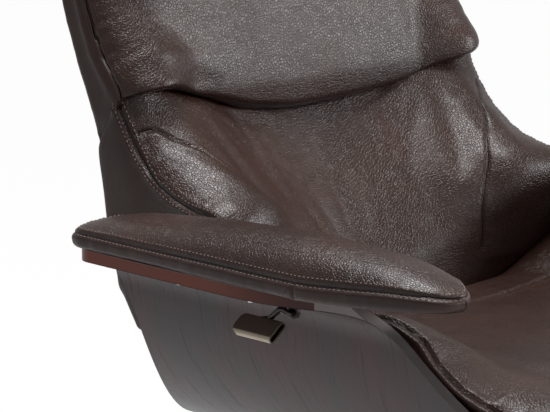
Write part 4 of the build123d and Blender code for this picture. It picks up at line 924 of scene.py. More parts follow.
class Hide:
    """The points and normals of a leather piece, while it is being shaped."""

    def __init__(self, thing: bpy.types.Object) -> None:
        """Reads the mesh."""
        self.thing = thing
        self.seams: list[np.ndarray] = []
        self.read()

    def read(self) -> None:
        """Reads points, normals and a search tree from the mesh."""
        mesh = self.thing.data
        self.co = points_of(mesh)
        self.normal = np.array([v.vector[:] for v in mesh.vertex_normals])
        self.tree = BVHTree.FromPolygons(
            [tuple(p) for p in self.co], [tuple(p.vertices) for p in mesh.polygons]
        )

    def write(self) -> None:
        """Writes the points back and reads the new normals."""
        self.thing.data.vertices.foreach_set("co", self.co.ravel())
        self.thing.data.update()
        self.read()

    def onto(self, path: Sequence[Row], spacing: float = 0.0015, scale: float = MM) -> tuple:
        """Draws a smooth path through rough points and lays it on the piece.

        Args:
            path: the points, in millimetres unless scale says otherwise.
            spacing: distance between its points in metres.
            scale: metres per unit.

        Returns:
            Points on the surface and the normals there.
        """
        rough = np.asarray(path, float) * scale
        length = np.linalg.norm(np.diff(rough, axis=0), axis=1).sum()
        fine = rounded(rough, max(8, int(length / spacing)))
        found = [self.tree.find_nearest(Vector(p)) for p in fine]
        points = np.array([f[0][:] for f in found])
        normals = np.array([self.normal_at(f[0], f[2]) for f in found])
        return points, normals

    def normal_at(self, point: Vector, face: int) -> np.ndarray:
        """The smooth normal on a face, from its corners."""
        corners = list(self.thing.data.polygons[face].vertices)
        far = np.linalg.norm(self.co[corners] - np.array(point[:]), axis=1)
        weight = 1 / np.maximum(far, 1e-6)
        mean = (self.normal[corners] * weight[:, None]).sum(axis=0)
        return mean / np.linalg.norm(mean)

    def beside(self, path: np.ndarray, normals: np.ndarray, offset: float) -> tuple:
        """A path on the piece at a distance to one side of another."""
        ahead = np.gradient(path, axis=0)
        ahead /= np.maximum(np.linalg.norm(ahead, axis=1, keepdims=True), 1e-9)
        across = np.cross(ahead, normals)
        moved = path + across * offset
        found = [self.tree.find_nearest(Vector(p)) for p in moved]
        points = np.array([f[0][:] for f in found])
        return points, np.array([self.normal_at(f[0], f[2]) for f in found])

    def crease(
        self,
        path: np.ndarray,
        depth: float,
        width: float,
        roll: float = 0.0,
        roll_at: float = 0.006,
        pucker: float = 0.0,
        reach: float = 0.022,
        pitch: float = 0.011,
        seed: float = 0.0,
        side: int = 0,
        fade: bool = False,
    ) -> None:
        """Presses a seam or a fold into the piece, with a roll beside it and puckers across it.

        Args:
            path: points on the surface.
            depth: depth of the groove in metres, negative for a ridge.
            width: half width of the groove.
            roll: height of the rolls beside it.
            roll_at: their distance from it.
            pucker: height of the puckers.
            reach: how far the puckers run out.
            pitch: their spacing along the path.
            seed: seed of the puckers.
            side: 1 or -1 for puckers on one side only.
            fade: whether the groove fades out at both ends.
        """
        path = dense(path)
        tree = path_tree(path)
        run = np.linspace(0, np.linalg.norm(np.diff(path, axis=0), axis=1).sum(), len(path))
        ahead = np.gradient(path, axis=0)
        span = max(3 * width, 2 * roll_at + width, reach * 3 if pucker else 0)
        near = np.all((self.co > path.min(axis=0) - span) & (self.co < path.max(axis=0) + span), axis=1)
        for i in np.nonzero(near)[0]:
            _, k, far = tree.find(Vector(self.co[i]))
            if far > span:
                continue
            across = np.cross(ahead[k], self.normal[i])
            lies = math.copysign(1, float((self.co[i] - path[k]) @ across))
            move = -depth * math.exp(-((far / width) ** 2))
            move += roll * math.exp(-(((far - roll_at) / (roll_at * 0.6)) ** 2))
            if pucker and side * lies >= 0:
                wave = noise.noise(Vector((run[k] / pitch, seed + lies * 3.7, far / 0.05)))
                move += pucker * wave * math.exp(-far / reach) * float(smoothstep(0.0, 0.006, far))
            end = min(run[k], run[-1] - run[k])
            if fade:
                move *= max(0.0, math.sin(math.pi * run[k] / run[-1])) ** 0.7
            elif k in (0, len(path) - 1):
                move *= math.exp(-((far / 0.006) ** 2))
            else:
                move *= 0.4 + 0.6 * float(smoothstep(0.0, 0.012, end))
            self.co[i] += self.normal[i] * move

    def swell(self, first: np.ndarray, second: np.ndarray, height: float, reach: float) -> None:
        """Raises the leather between two paths into a roll.

        Args:
            first: points of one path.
            second: points of the other.
            height: the roll's height in metres where the paths lie a reach apart.
            reach: the widest roll; wider gaps rise no further.
        """
        one, two = (path_tree(dense(path, 0.002)) for path in (first, second))
        both = np.concatenate([first, second])
        near = np.all((self.co > both.min(axis=0) - 0.01) & (self.co < both.max(axis=0) + 0.01), axis=1)
        rise = np.zeros(len(self.co))
        for i in np.nonzero(near)[0]:
            here = Vector(self.co[i])
            (a, _, far_a), (b, _, far_b) = one.find(here), two.find(here)
            gap = (b - a).length
            if gap < 0.002 or max(far_a, far_b) > gap * 1.25 or min(far_a, far_b) < 1e-5:
                continue
            share = far_a / (far_a + far_b)
            turned = (a - here).normalized() @ (b - here).normalized()
            inside = float(smoothstep(0.3, -0.5, turned))
            rise[i] = height * min(1.0, gap / reach) * (4 * share * (1 - share)) ** 0.75 * inside
        self.co += self.normal * self.calmed(rise, 14)[:, None]

    def calmed(self, values: np.ndarray, rounds: int) -> np.ndarray:
        """Evens out a value per point with its neighbours along the mesh's edges."""
        ends = np.zeros(len(self.thing.data.edges) * 2, int)
        self.thing.data.edges.foreach_get("vertices", ends)
        a, b = ends.reshape(-1, 2).T
        count = np.bincount(a, minlength=len(values)) + np.bincount(b, minlength=len(values))
        for _ in range(rounds):
            total = np.bincount(a, values[b], len(values)) + np.bincount(b, values[a], len(values))
            values = (values + total / np.maximum(count, 1)) / 2
        return values

    def ripples(self, amount: float, scale: Row, seed: float, where: np.ndarray | None = None) -> None:
        """Adds soft unevenness, with a scale in waves per metre."""
        move = amount * ripple(self.co, scale, seed)
        if where is not None:
            move = move * where
        self.co = self.co + self.normal * move[:, None]

    def seam(self, path: np.ndarray, **how: float) -> None:
        """Presses in a seam that the shader also draws."""
        self.crease(path, **how)
        self.seams.append(path)

    def done(self) -> None:
        """Writes the points and the seam distances."""
        self.write()
        mark_seams(self.thing, self.seams)


def paint(
    thing: bpy.types.Object, material: bpy.types.Material, inside: Callable[[np.ndarray], np.ndarray]
) -> None:
    """Gives the faces in a region another material.

    Args:
        thing: the piece, which has its first material already.
        material: the other material.
        inside: says for each face centre whether it is in the region.
    """
    mesh = thing.data
    mesh.materials.append(material)
    centres = np.zeros(len(mesh.polygons) * 3)
    mesh.polygons.foreach_get("center", centres)
    chosen = inside(centres.reshape(-1, 3))
    index = np.where(chosen, len(mesh.materials) - 1, 0).astype(int)
    mesh.polygons.foreach_set("material_index", index)


def wrapped(grid: Grid, name: str) -> bpy.types.Object:
    """Makes a mesh from rings of points in millimetres, whose ends are closed already."""
    points = grid.reshape(-1, 3) * MM
    rows, columns = grid.shape[:2]
    here = np.arange(rows * columns).reshape(rows, columns)
    beside = np.roll(here, -1, axis=1)
    quads = np.stack([here[:-1], beside[:-1], beside[1:], here[1:]], axis=-1).reshape(-1, 4)
    return fused(mesh_object(name, points, [tuple(int(v) for v in q) for q in quads]))


# ---------------------------------------------------------------- arm pads
@dataclass
class ArmPad:
    """One arm pad: a boxed leather cushion on the shell's flange, double stitched along its seam.

    Attributes:
        side: -1 for the sitter's right arm, 1 for the left.
        outer: plan of the outer edge, from the middle of the rear to the tip, as half width and depth.
        inner: plan of the inner edge, likewise.
        base: heights of the underside by depth.
        seam: heights of the seam by depth.
        crown: heights of the ridge by depth.
        joint: depth at which the boxing's two strips are joined.
        swell_reach: how far from its ends the pad reaches its full height.
        rows: points along the edges.
        rise: points up the boxing.
        across: points across the top.
    """

    side: int
    outer: Sequence[Row] = (
        (336, 171), (358, 171), (374, 169.5), (384, 162), (387.3, 148), (387.5, 70), (387.3, -60),
        (386.5, -144), (379.5, -200), (366.5, -258), (355, -284), (344, -296), (331, -300),
    )
    inner: Sequence[Row] = (
        (336, 171), (314, 171), (299, 169.5), (290, 162), (287, 148), (286, 70), (286, -60),
        (286.5, -144), (287.5, -190), (291, -228), (299, -260), (309, -281), (320, -294), (331, -300),
    )
    base: Sequence[Row] = ((-305, 581), (-290, 580), (-255, 578), (-200, 575), (-140, 573.4), (171, 573.4))
    seam: Sequence[Row] = (
        (-305, 592), (-290, 593.5), (-255, 594.5), (-200, 591.5), (-140, 588.5), (150, 588), (171, 586),
    )
    crown: Sequence[Row] = (
        (-300, 596), (-270, 606), (-210, 616.5), (-130, 620.5), (-60, 618.5), (20, 613.5), (70, 609),
        (140, 600), (171, 593),
    )
    joint: float = -144.0
    swell_reach: float = 42.0
    rows: int = 170
    rise: int = 7
    across: int = 34

    def levels(self, table: Sequence[Row], depth: np.ndarray) -> np.ndarray:
        """Heights from a table at given depths."""
        keys, values = zip(*table)
        return through(keys, values, depth)

    def edges(self) -> tuple[np.ndarray, np.ndarray, np.ndarray, np.ndarray]:
        """Both edges in plan, and their outward directions."""
        found = []
        for points, way in ((self.outer, 1), (self.inner, -1)):
            line = rounded(points, self.rows)
            ahead = np.gradient(line, axis=0)
            ahead /= np.linalg.norm(ahead, axis=1, keepdims=True)
            found.append((line, way * np.stack([-ahead[:, 1], ahead[:, 0]], axis=1)))
        (outer, out), (inner, into) = found
        return outer, out, inner, into

    def boxing(self, place: np.ndarray, way: np.ndarray, up: np.ndarray) -> list[tuple]:
        """Points up the boxing at one place of an edge.

        Args:
            place: the edge's point in plan.
            way: its outward direction.
            up: shares of the boxing's height.

        Returns:
            The points, bulging a little between base and seam.
        """
        low, high = (self.levels(t, place[1:])[0] for t in (self.base, self.seam))
        points = []
        for v in up:
            x, y = place + way * (1.6 * math.sin(math.pi * v) - (1.8 if v == 0 else 0.0))
            points.append((x, y, low + (high - low) * v))
        return points

    def shape(self) -> Grid:
        """Rings round the pad from its rear to its tip."""
        outer, out, inner, into = self.edges()
        run = np.concatenate([[0], np.cumsum(np.linalg.norm(np.diff(outer, axis=0), axis=1))])
        near_end = np.minimum(run, run[-1] - run)
        swell = np.sqrt(np.maximum(0, 1 - (1 - np.minimum(near_end / self.swell_reach, 1)) ** 2))
        up = np.linspace(0, 1, self.rise)
        over = np.linspace(0, 1, self.across)
        over = 0.5 - 0.5 * np.cos(np.pi * (over * 0.72 + 0.14)) / math.cos(math.pi * 0.14)
        profile = np.maximum(0, 1 - np.abs(2 * over - 1) ** 2.3) ** 0.62
        rings = []
        for a, na, b, nb, grow in zip(outer, out, inner, into, swell):
            ring = self.boxing(a, na, up)
            ends = [self.levels(self.seam, np.array([e[1]]))[0] for e in (a, b)]
            middle = (a + b) / 2
            top = self.levels(self.crown, np.array([middle[1]]))[0]
            for t, h in zip(over[1:-1], profile[1:-1]):
                p = a + (b - a) * t
                edge = ends[0] + (ends[1] - ends[0]) * t
                ring.append((p[0], p[1], edge + (top - edge) * h * grow))
            ring += self.boxing(b, nb, up[::-1])
            for t in np.linspace(1, 0, self.rise * 2 + self.across)[1:-1]:
                p = a + (b - a) * t
                low = self.levels(self.base, np.array([p[1]]))[0]
                ring.append((p[0], p[1], low))
            rings.append(ring)
        grid = np.array(rings)
        grid[..., 0] *= self.side
        return grid

    def build(self, palette: Palette, sewing: Sewing) -> bpy.types.Object:
        """Makes the pad with its seams and stitches.

        Args:
            palette: the finishes.
            sewing: makes the stitches.

        Returns:
            The pad.
        """
        end = "right" if self.side < 0 else "left"
        thing = wrapped(self.shape(), f"arm_cushion_{end}")
        puff(thing, lambda co: 1 - smoothstep(0.588, 0.606, co[:, 2]) * 0.9, cap=0.004, frames=12)
        refined(thing)
        hide = Hide(thing)
        outer, _, inner, _ = self.edges()
        lines = []
        for edge in (outer, inner):
            level = self.levels(self.seam, edge[:, 1])
            lines.append(np.column_stack([edge[:, 0] * self.side, edge[:, 1], level]))
        hide.ripples(0.0009, (16, 9, 16), 3.1 + self.side)
        paths = [hide.onto(line) for line in lines]
        for number, (path, _) in enumerate(paths):
            hide.seam(path, depth=0.0009, width=0.0014, roll=0.0005, roll_at=0.0045, pucker=0.0010,
                      reach=0.012, pitch=0.010, seed=5.0 + number + self.side)
        joint = [(self.side * x, self.joint, z) for x, z in ((388, 574), (389, 580), (388, 588))]
        path, _ = hide.onto(joint)
        hide.seam(path, depth=0.0012, width=0.0014, roll=0.0006, roll_at=0.003)
        hide.done()
        settle(thing, "seat", palette.pebbled, [f"arm_pad_{end}"])
        paint(thing, palette.smooth, self.on_boxing)
        for number, (path, normals) in enumerate(paths):
            for place, offset in (("upper", 0.0016), ("lower", -0.0068)):
                way = offset if (number == 0) == (self.side < 0) else -offset
                row, up = hide.beside(path, normals, way)
                stitches = sewing.row(f"stitch_arm_{end}_{number}_{place}", row, up)
                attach(stitches, "seat")
        return thing

    def on_boxing(self, centres: np.ndarray) -> np.ndarray:
        """Whether each face centre is below the seam."""
        return centres[:, 2] / MM < self.levels(self.seam, centres[:, 1] / MM)


# ---------------------------------------------------------------- seat cushion
@dataclass
class SeatCushion:
    """The bucket-shaped seat cushion: it lies in the shell's bend, with a boxing band at its rims.

    Attributes:
        stations: front to rear: depth, heights of rim, shoulder and middle, how far it draws in, and how
            far its seam stands over the rim.
        bottom: height of the shell's underside.
        ply: thickness of the shell.
        gap: distance from the shell to the cushion.
        flat_half: half width of the shell's flat bottom.
        bend: outer radius of the shell's bend.
        shoulder: how far the top's shoulder lies past the flat.
        bay_front: depth at which the bay for the board and the mechanism starts.
        bay_top: height of the bay.
        counts: points in the belly, the band, the slope and the top.
    """

    stations: Sequence[Row] = (
        (-417, 414, 420, 426, 22, 5), (-409, 420, 432, 438, 14, 7), (-398, 426, 443, 449, 8, 8),
        (-365, 438, 461, 465, 3, 9), (-315, 457, 478, 477, 0, 9), (-260, 482, 484, 480, 0, 8),
        (-230, 499, 485, 480, 0, 12), (-205, 516, 486, 479, 0, 19), (-165, 526, 486, 478, 0, 20),
        (-60, 524, 482, 473, 0, 18), (68, 524, 476, 465, 0, 16), (104, 518, 473, 462, 4, 10),
        (118, 510, 470, 460, 10, 5),
    )
    bottom: float = 345.0
    ply: float = 12.0
    gap: float = 5.5
    flat_half: float = 90.0
    bend: float = 240.0
    shoulder: float = 75.0
    bay_front: float = -364.0
    bay_top: float = 406.3
    counts: Sequence[int] = (20, 13, 22, 26)

    def half(
        self, rim: float, shoulder: float, middle: float, draw: float, rise: float
    ) -> tuple[np.ndarray, np.ndarray]:
        """Upper and lower lines of half a section, from the rim inwards.

        Args:
            rim: height of the rim.
            shoulder: height of the top's shoulder.
            middle: height of the top's middle.
            draw: how far the section draws in.
            rise: height of the band's seam over the rim.

        Returns:
            The upper line and the lower line, with as many points each.
        """
        inset = self.ply + self.gap + draw
        radius = self.bend - inset
        floor = self.bottom + inset
        drop = self.bottom + self.bend - rim
        outer = self.flat_half + math.sqrt(radius**2 - drop**2)
        swing = math.asin((outer - self.flat_half) / radius)
        ledge = self.flat_half + self.shoulder - draw
        inner, high = outer - 1 - 0.65 * rise, rim + rise
        bulge = ((outer + inner) / 2 + 1.6, (rim + high) / 2 + 1.2)
        band = arc((outer, rim), bulge, (inner, high), self.counts[1])
        lift = 0.35 if high > shoulder else 0.8
        pull = min(30.0, (inner - ledge) * 0.45)
        slope = sweep(
            [(inner, high), (inner - pull, high + pull * lift), (ledge + pull, shoulder + pull * 0.15),
             (ledge, shoulder)], self.counts[2],
        )
        top = arc((ledge, shoulder), (0, middle + 2), (-ledge, shoulder), 2 * self.counts[3] - 1)
        upper = np.concatenate([band, slope[1:], top[1 : self.counts[3]]])
        belly = np.linspace(swing, 0, self.counts[0])
        under = np.stack(
            [
                self.flat_half + radius * np.sin(belly),
                self.bottom + self.bend - radius * np.cos(belly),
            ],
            axis=1,
        )
        lower = np.concatenate([under, [(0, floor)]])
        return upper, even(lower, len(upper))

    def rim_line(self, side: int) -> np.ndarray:
        """The seam between the band and the top panel."""
        keys = [s[0] for s in self.stations]
        rows = np.arange(-398, 100, 8.0)
        read = through(keys, [s[1:] for s in self.stations], rows)
        line = []
        for depth, values in zip(rows, read):
            upper, _ = self.half(*values)
            x, z = upper[self.counts[1] - 1]
            line.append((side * x, depth, z))
        return np.array(line)

    def shape(self) -> Grid:
        """Rings round the cushion from its front to its rear."""
        keys = [s[0] for s in self.stations]
        nose = np.linspace(-417, -398, 8)[:-1]
        spread = np.concatenate([nose, np.arange(-398, 104, 4.0), [105, 109, 113, 118]])
        read = through(keys, [s[1:] for s in self.stations], spread)
        rings = []
        for depth, values in zip(spread, read):
            upper, lower = self.half(*values)
            if depth > self.bay_front:
                lower[:, 1] = np.maximum(lower[:, 1], self.bay_top)
            left = np.column_stack([-upper[:, 0], upper[:, 1]])
            top = np.concatenate([left, upper[::-1][1:]])
            left = np.column_stack([-lower[:, 0], lower[:, 1]])
            floor = np.concatenate([left, lower[::-1][1:]])
            ring = np.concatenate([top, floor[::-1]])
            rings.append(np.column_stack([ring[:, 0], np.full(len(ring), depth), ring[:, 1]]))
        return closed(np.array(rings), (0.25, 0.5, 0.75, 1.0), (0, -1.0, 0), (0, 3, 0))

    def build(self, palette: Palette, sewing: Sewing) -> bpy.types.Object:
        """Makes the seat cushion.

        Args:
            palette: the finishes.
            sewing: makes the stitches.

        Returns:
            The cushion.
        """
        thing = wrapped(self.shape(), "seat_cushion_leather")
        refined(thing)
        hide = Hide(thing)
        over = smoothstep(0.44, 0.47, hide.co[:, 2])
        hide.ripples(0.0035, (5, 4, 5), 8.3, over)
        hide.ripples(0.0012, (20, 12, 20), 2.3, over)
        hide.write()
        stitched = []
        for side in (-1, 1):
            path, normals = hide.onto(self.rim_line(side))
            hide.seam(path, depth=0.0016, width=0.0020, roll=0.0012, roll_at=0.0055, pucker=0.0022,
                      reach=0.018, pitch=0.010, seed=11.0 * side)
            stitched.append((f"rim_{'right' if side < 0 else 'left'}", path, normals))
        cross = [(x, 50 + 0.0002 * x * x, 470) for x in range(-170, 171, 20)]
        path, normals = hide.onto(cross)
        hide.seam(path, depth=0.0016, width=0.003, roll=0.0009, roll_at=0.007, pucker=0.0009, seed=4.0)
        front = [(x, -404 - 4 * (1 - (x / 235) ** 2), 442) for x in range(-225, 226, 25)]
        path, normals = hide.onto(front)
        hide.seam(path, depth=0.0026, width=0.0026, roll=0.0016, roll_at=0.0062, pucker=0.0016, seed=6.0)
        stitched.append(("front", path, normals))
        hide.done()
        settle(thing, "seat", palette.pebbled, ["seat_cushion"])
        paint(thing, palette.smooth, self.on_band)
        for name, path, normals in stitched:
            for number, offset in enumerate((0.0045, -0.0045)):
                row, up = hide.beside(path, normals, offset)
                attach(sewing.row(f"stitch_seat_{name}_{number}", row, up), "seat")
        return thing

    def on_band(self, centres: np.ndarray) -> np.ndarray:
        """Whether each face centre is on the band or below it."""
        line = self.rim_line(1) * MM
        half = np.interp(centres[:, 1], line[:, 1], line[:, 0])
        level = np.interp(centres[:, 1], line[:, 1], line[:, 2])
        return (np.abs(centres[:, 0]) > half) | (centres[:, 2] < np.minimum(level, 0.43))


# ---------------------------------------------------------------- back
@dataclass
class BackLine:
    """Lines that the pieces of the back share, as tables by height.

    Attributes:
        board: depth of the backboard's front.
        seam: depth of the seam between the cushions and the cover.
        rear: depth of the cover's rear.
        half: half width of the back.
    """

    board: Sequence[Row] = (
        (412, 186), (452, 200), (560, 238), (687, 277), (780, 312), (900, 356), (1000, 383),
        (1086, 402), (1126, 408),
    )
    seam: Sequence[Row] = (
        (456, 226), (500, 255), (545, 272), (600, 281), (633, 286), (655, 276), (670, 266),
        (686, 256), (732, 286), (780, 308), (840, 332), (900, 353), (1000, 381), (1050, 392),
        (1092, 400),
    )
    rear: Sequence[Row] = (
        (458, 228), (500, 252), (545, 270), (583, 276), (633, 285), (671, 297), (702, 312),
        (739, 329), (790, 351), (840, 372), (900, 394), (1000, 419), (1050, 426), (1078, 427),
        (1090, 419),
    )
    half: Sequence[Row] = (
        (456, 238), (500, 246), (545, 250), (600, 251), (730, 250.5), (800, 248), (900, 240), (1000, 228),
        (1050, 216), (1077, 192), (1087, 168), (1090, 150),
    )

    def read(self, name: str, height: object) -> np.ndarray:
        """Reads one of the lines at heights."""
        keys, values = zip(*getattr(self, name))
        return through(keys, values, np.atleast_1d(height))


@dataclass
class UpperPillow:
    """The upper back cushion: a full pillow with double seams at its sides and a dipping lower edge.

    Attributes:
        line: the lines of the back.
        low: the lower edge: place across, depth and height.
        front: depth of the face in the middle, by height.
        corner: how much further the lower corners stand forward, by height.
        roll: how far the lower edge's roll runs up.
        top: height of the top.
        columns: points across.
        rows: rings from the lower edge to the top.
    """

    line: BackLine
    low: Sequence[Row] = (
        (-251, 258, 687), (-240, 246, 690), (-207, 236, 694), (-140, 242, 679), (-77, 250, 660),
        (-2, 254, 653), (70, 254, 656), (140, 248, 664), (190, 240, 677), (227, 236, 687),
        (242, 246, 689), (251, 258, 688),
    )
    front: Sequence[Row] = (
        (650, 243), (665, 240), (680, 239.5), (700, 242), (740, 253), (780, 266), (840, 286), (900, 303),
        (1000, 326), (1040, 341), (1065, 357), (1082, 374), (1090, 388),
    )
    corner: Sequence[Row] = ((650, 30), (690, 34), (702, 34), (716, 27), (732, 19), (750, 10), (775, 0))
    roll: float = 8.0
    top: float = 1089.0
    columns: int = 128
    rows: int = 112

    def face(self, x: np.ndarray, height: float, half: float, lift: np.ndarray) -> np.ndarray:
        """Depth of the pillow's face.

        Args:
            x: places across.
            height: height of each point.
            half: half width there.
            lift: height of each point over the lower edge.

        Returns:
            The depths.
        """
        seam = self.line.read("seam", np.maximum(height, 687))
        middle, bulge = (through(*zip(*table), height) for table in (self.front, self.corner))
        side = np.maximum(0, 1 - np.minimum(np.abs(x) / half, 1) ** 8) ** 0.5
        stand = seam - middle + bulge * smoothstep(150, 224, np.abs(x))
        full = seam - stand * side
        valley = through([p[0] for p in self.low], [p[1] for p in self.low], x)
        grow = np.maximum(0, 1 - (1 - np.clip(lift / self.roll, 0, 1)) ** 2) ** 0.5
        return np.minimum(valley + (full - valley) * grow, valley + lift)

    def shape(self) -> Grid:
        """Rings round the pillow from its lower edge to its top."""
        u = np.linspace(-1, 1, self.columns)
        v = np.linspace(0, 1, self.rows)
        v = 0.16 * v**2 + 0.84 * v
        rings = []
        for share in v:
            # Across each row, columns crowd towards the side seams
            spread = np.sign(u) * (1 - (1 - np.abs(u)) ** 1.35)
            low = through([p[0] for p in self.low], [p[2] for p in self.low], spread * 250)
            height = low + (self.top - low) * (1 - (1 - share) ** 1.12)
            half = self.line.read("half", height) - 1.5
            x = spread * half
            y = self.face(x, height, half, height - low)
            front = np.column_stack([x, y, height])
            behind = np.maximum(y + 1, self.line.read("board", height) - 2)
            behind = behind * (1 - np.abs(spread) ** 6) + y * np.abs(spread) ** 6
            rear = np.column_stack([x, behind, height])
            rings.append(np.concatenate([front, rear[::-1][1:-1]]))
        grid = np.array(rings)
        count = self.columns
        parts = [grid[:, :count], grid[:, count - 1 : count], grid[:, count:], grid[:, :1]]
        full = np.concatenate(parts, axis=1)
        return closed(full, (0.5, 1.0), (0, 0, -3), (0, 0, 1))

    def build(self, palette: Palette, sewing: Sewing) -> bpy.types.Object:
        """Makes the pillow with its folds, seams and stitches.

        Args:
            palette: the finishes.
            sewing: makes the stitches.

        Returns:
            The pillow.
        """
        thing = wrapped(self.shape(), "upper_pillow_leather")
        puff(thing, self.held, cap=0.006, frames=14)
        refined(thing)
        hide = Hide(thing)
        front = 1 - smoothstep(-30, -8, (hide.co[:, 1] / MM - self.line.read("board", hide.co[:, 2] / MM)))
        hide.ripples(0.0036, (5, 5, 4), 21.0, front)
        hide.ripples(0.0013, (24, 12, 14), 7.5, front)
        hide.write()
        for points, deep, width in self.folds():
            path, _ = hide.onto(points)
            hide.crease(path, depth=deep, width=width, roll=deep * 0.3, roll_at=width * 2.2, fade=True)
        hide.write()
        stitched = []
        for side in (-1, 1):
            heights = np.linspace(690, 1084, 60)
            half = self.line.read("half", heights)
            rough = np.column_stack([side * half, self.line.read("seam", heights), heights])
            path, normals = hide.onto(rough)
            hide.seam(path, depth=0.0014, width=0.0020, roll=0.0014, roll_at=0.0075, pucker=0.0024,
                      reach=0.034, pitch=0.009, seed=31.0 + side)
            stitched.append((f"{'right' if side < 0 else 'left'}", path, normals, side))
        hide.done()
        settle(thing, "backrest", palette.pebbled, ["upper_back_cushion"])
        for name, path, normals, side in stitched:
            row, up = hide.beside(path, normals, 0.0068 * side)
            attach(sewing.row(f"stitch_pillow_{name}", row, up), "backrest")
        return thing

    def held(self, co: np.ndarray) -> np.ndarray:
        """How firmly each point is held while the pillow is blown up."""
        x, y, z = (co / MM).T
        half = self.line.read("half", z)
        side = smoothstep(16, 70, half - np.abs(x))
        low = through([p[0] for p in self.low], [p[2] for p in self.low], x)
        rise = smoothstep(4, 50, z - low) * smoothstep(0, 40, self.top - z)
        behind = smoothstep(4, 20, self.line.read("board", z) - y)
        return 1 - 0.95 * side * rise * behind

    @staticmethod
    def folds() -> list[tuple[list[Row], float, float]]:
        """Paths, depths and half widths of the folds and swells in the face."""
        return [
            ([(-222, 240, 738), (-190, 222, 738), (-150, 214, 726), (-118, 216, 700)], -0.0018, 0.011),
            ([(-226, 258, 764), (-190, 236, 768), (-140, 228, 760), (-90, 228, 734)], 0.0010, 0.015),
            ([(-228, 268, 792), (-196, 246, 800), (-150, 238, 802)], -0.0016, 0.012),
            ([(-227, 285, 838), (-196, 262, 846), (-160, 256, 850)], 0.0012, 0.011),
            ([(222, 236, 716), (186, 216, 722), (150, 212, 730)], 0.0014, 0.012),
        ]


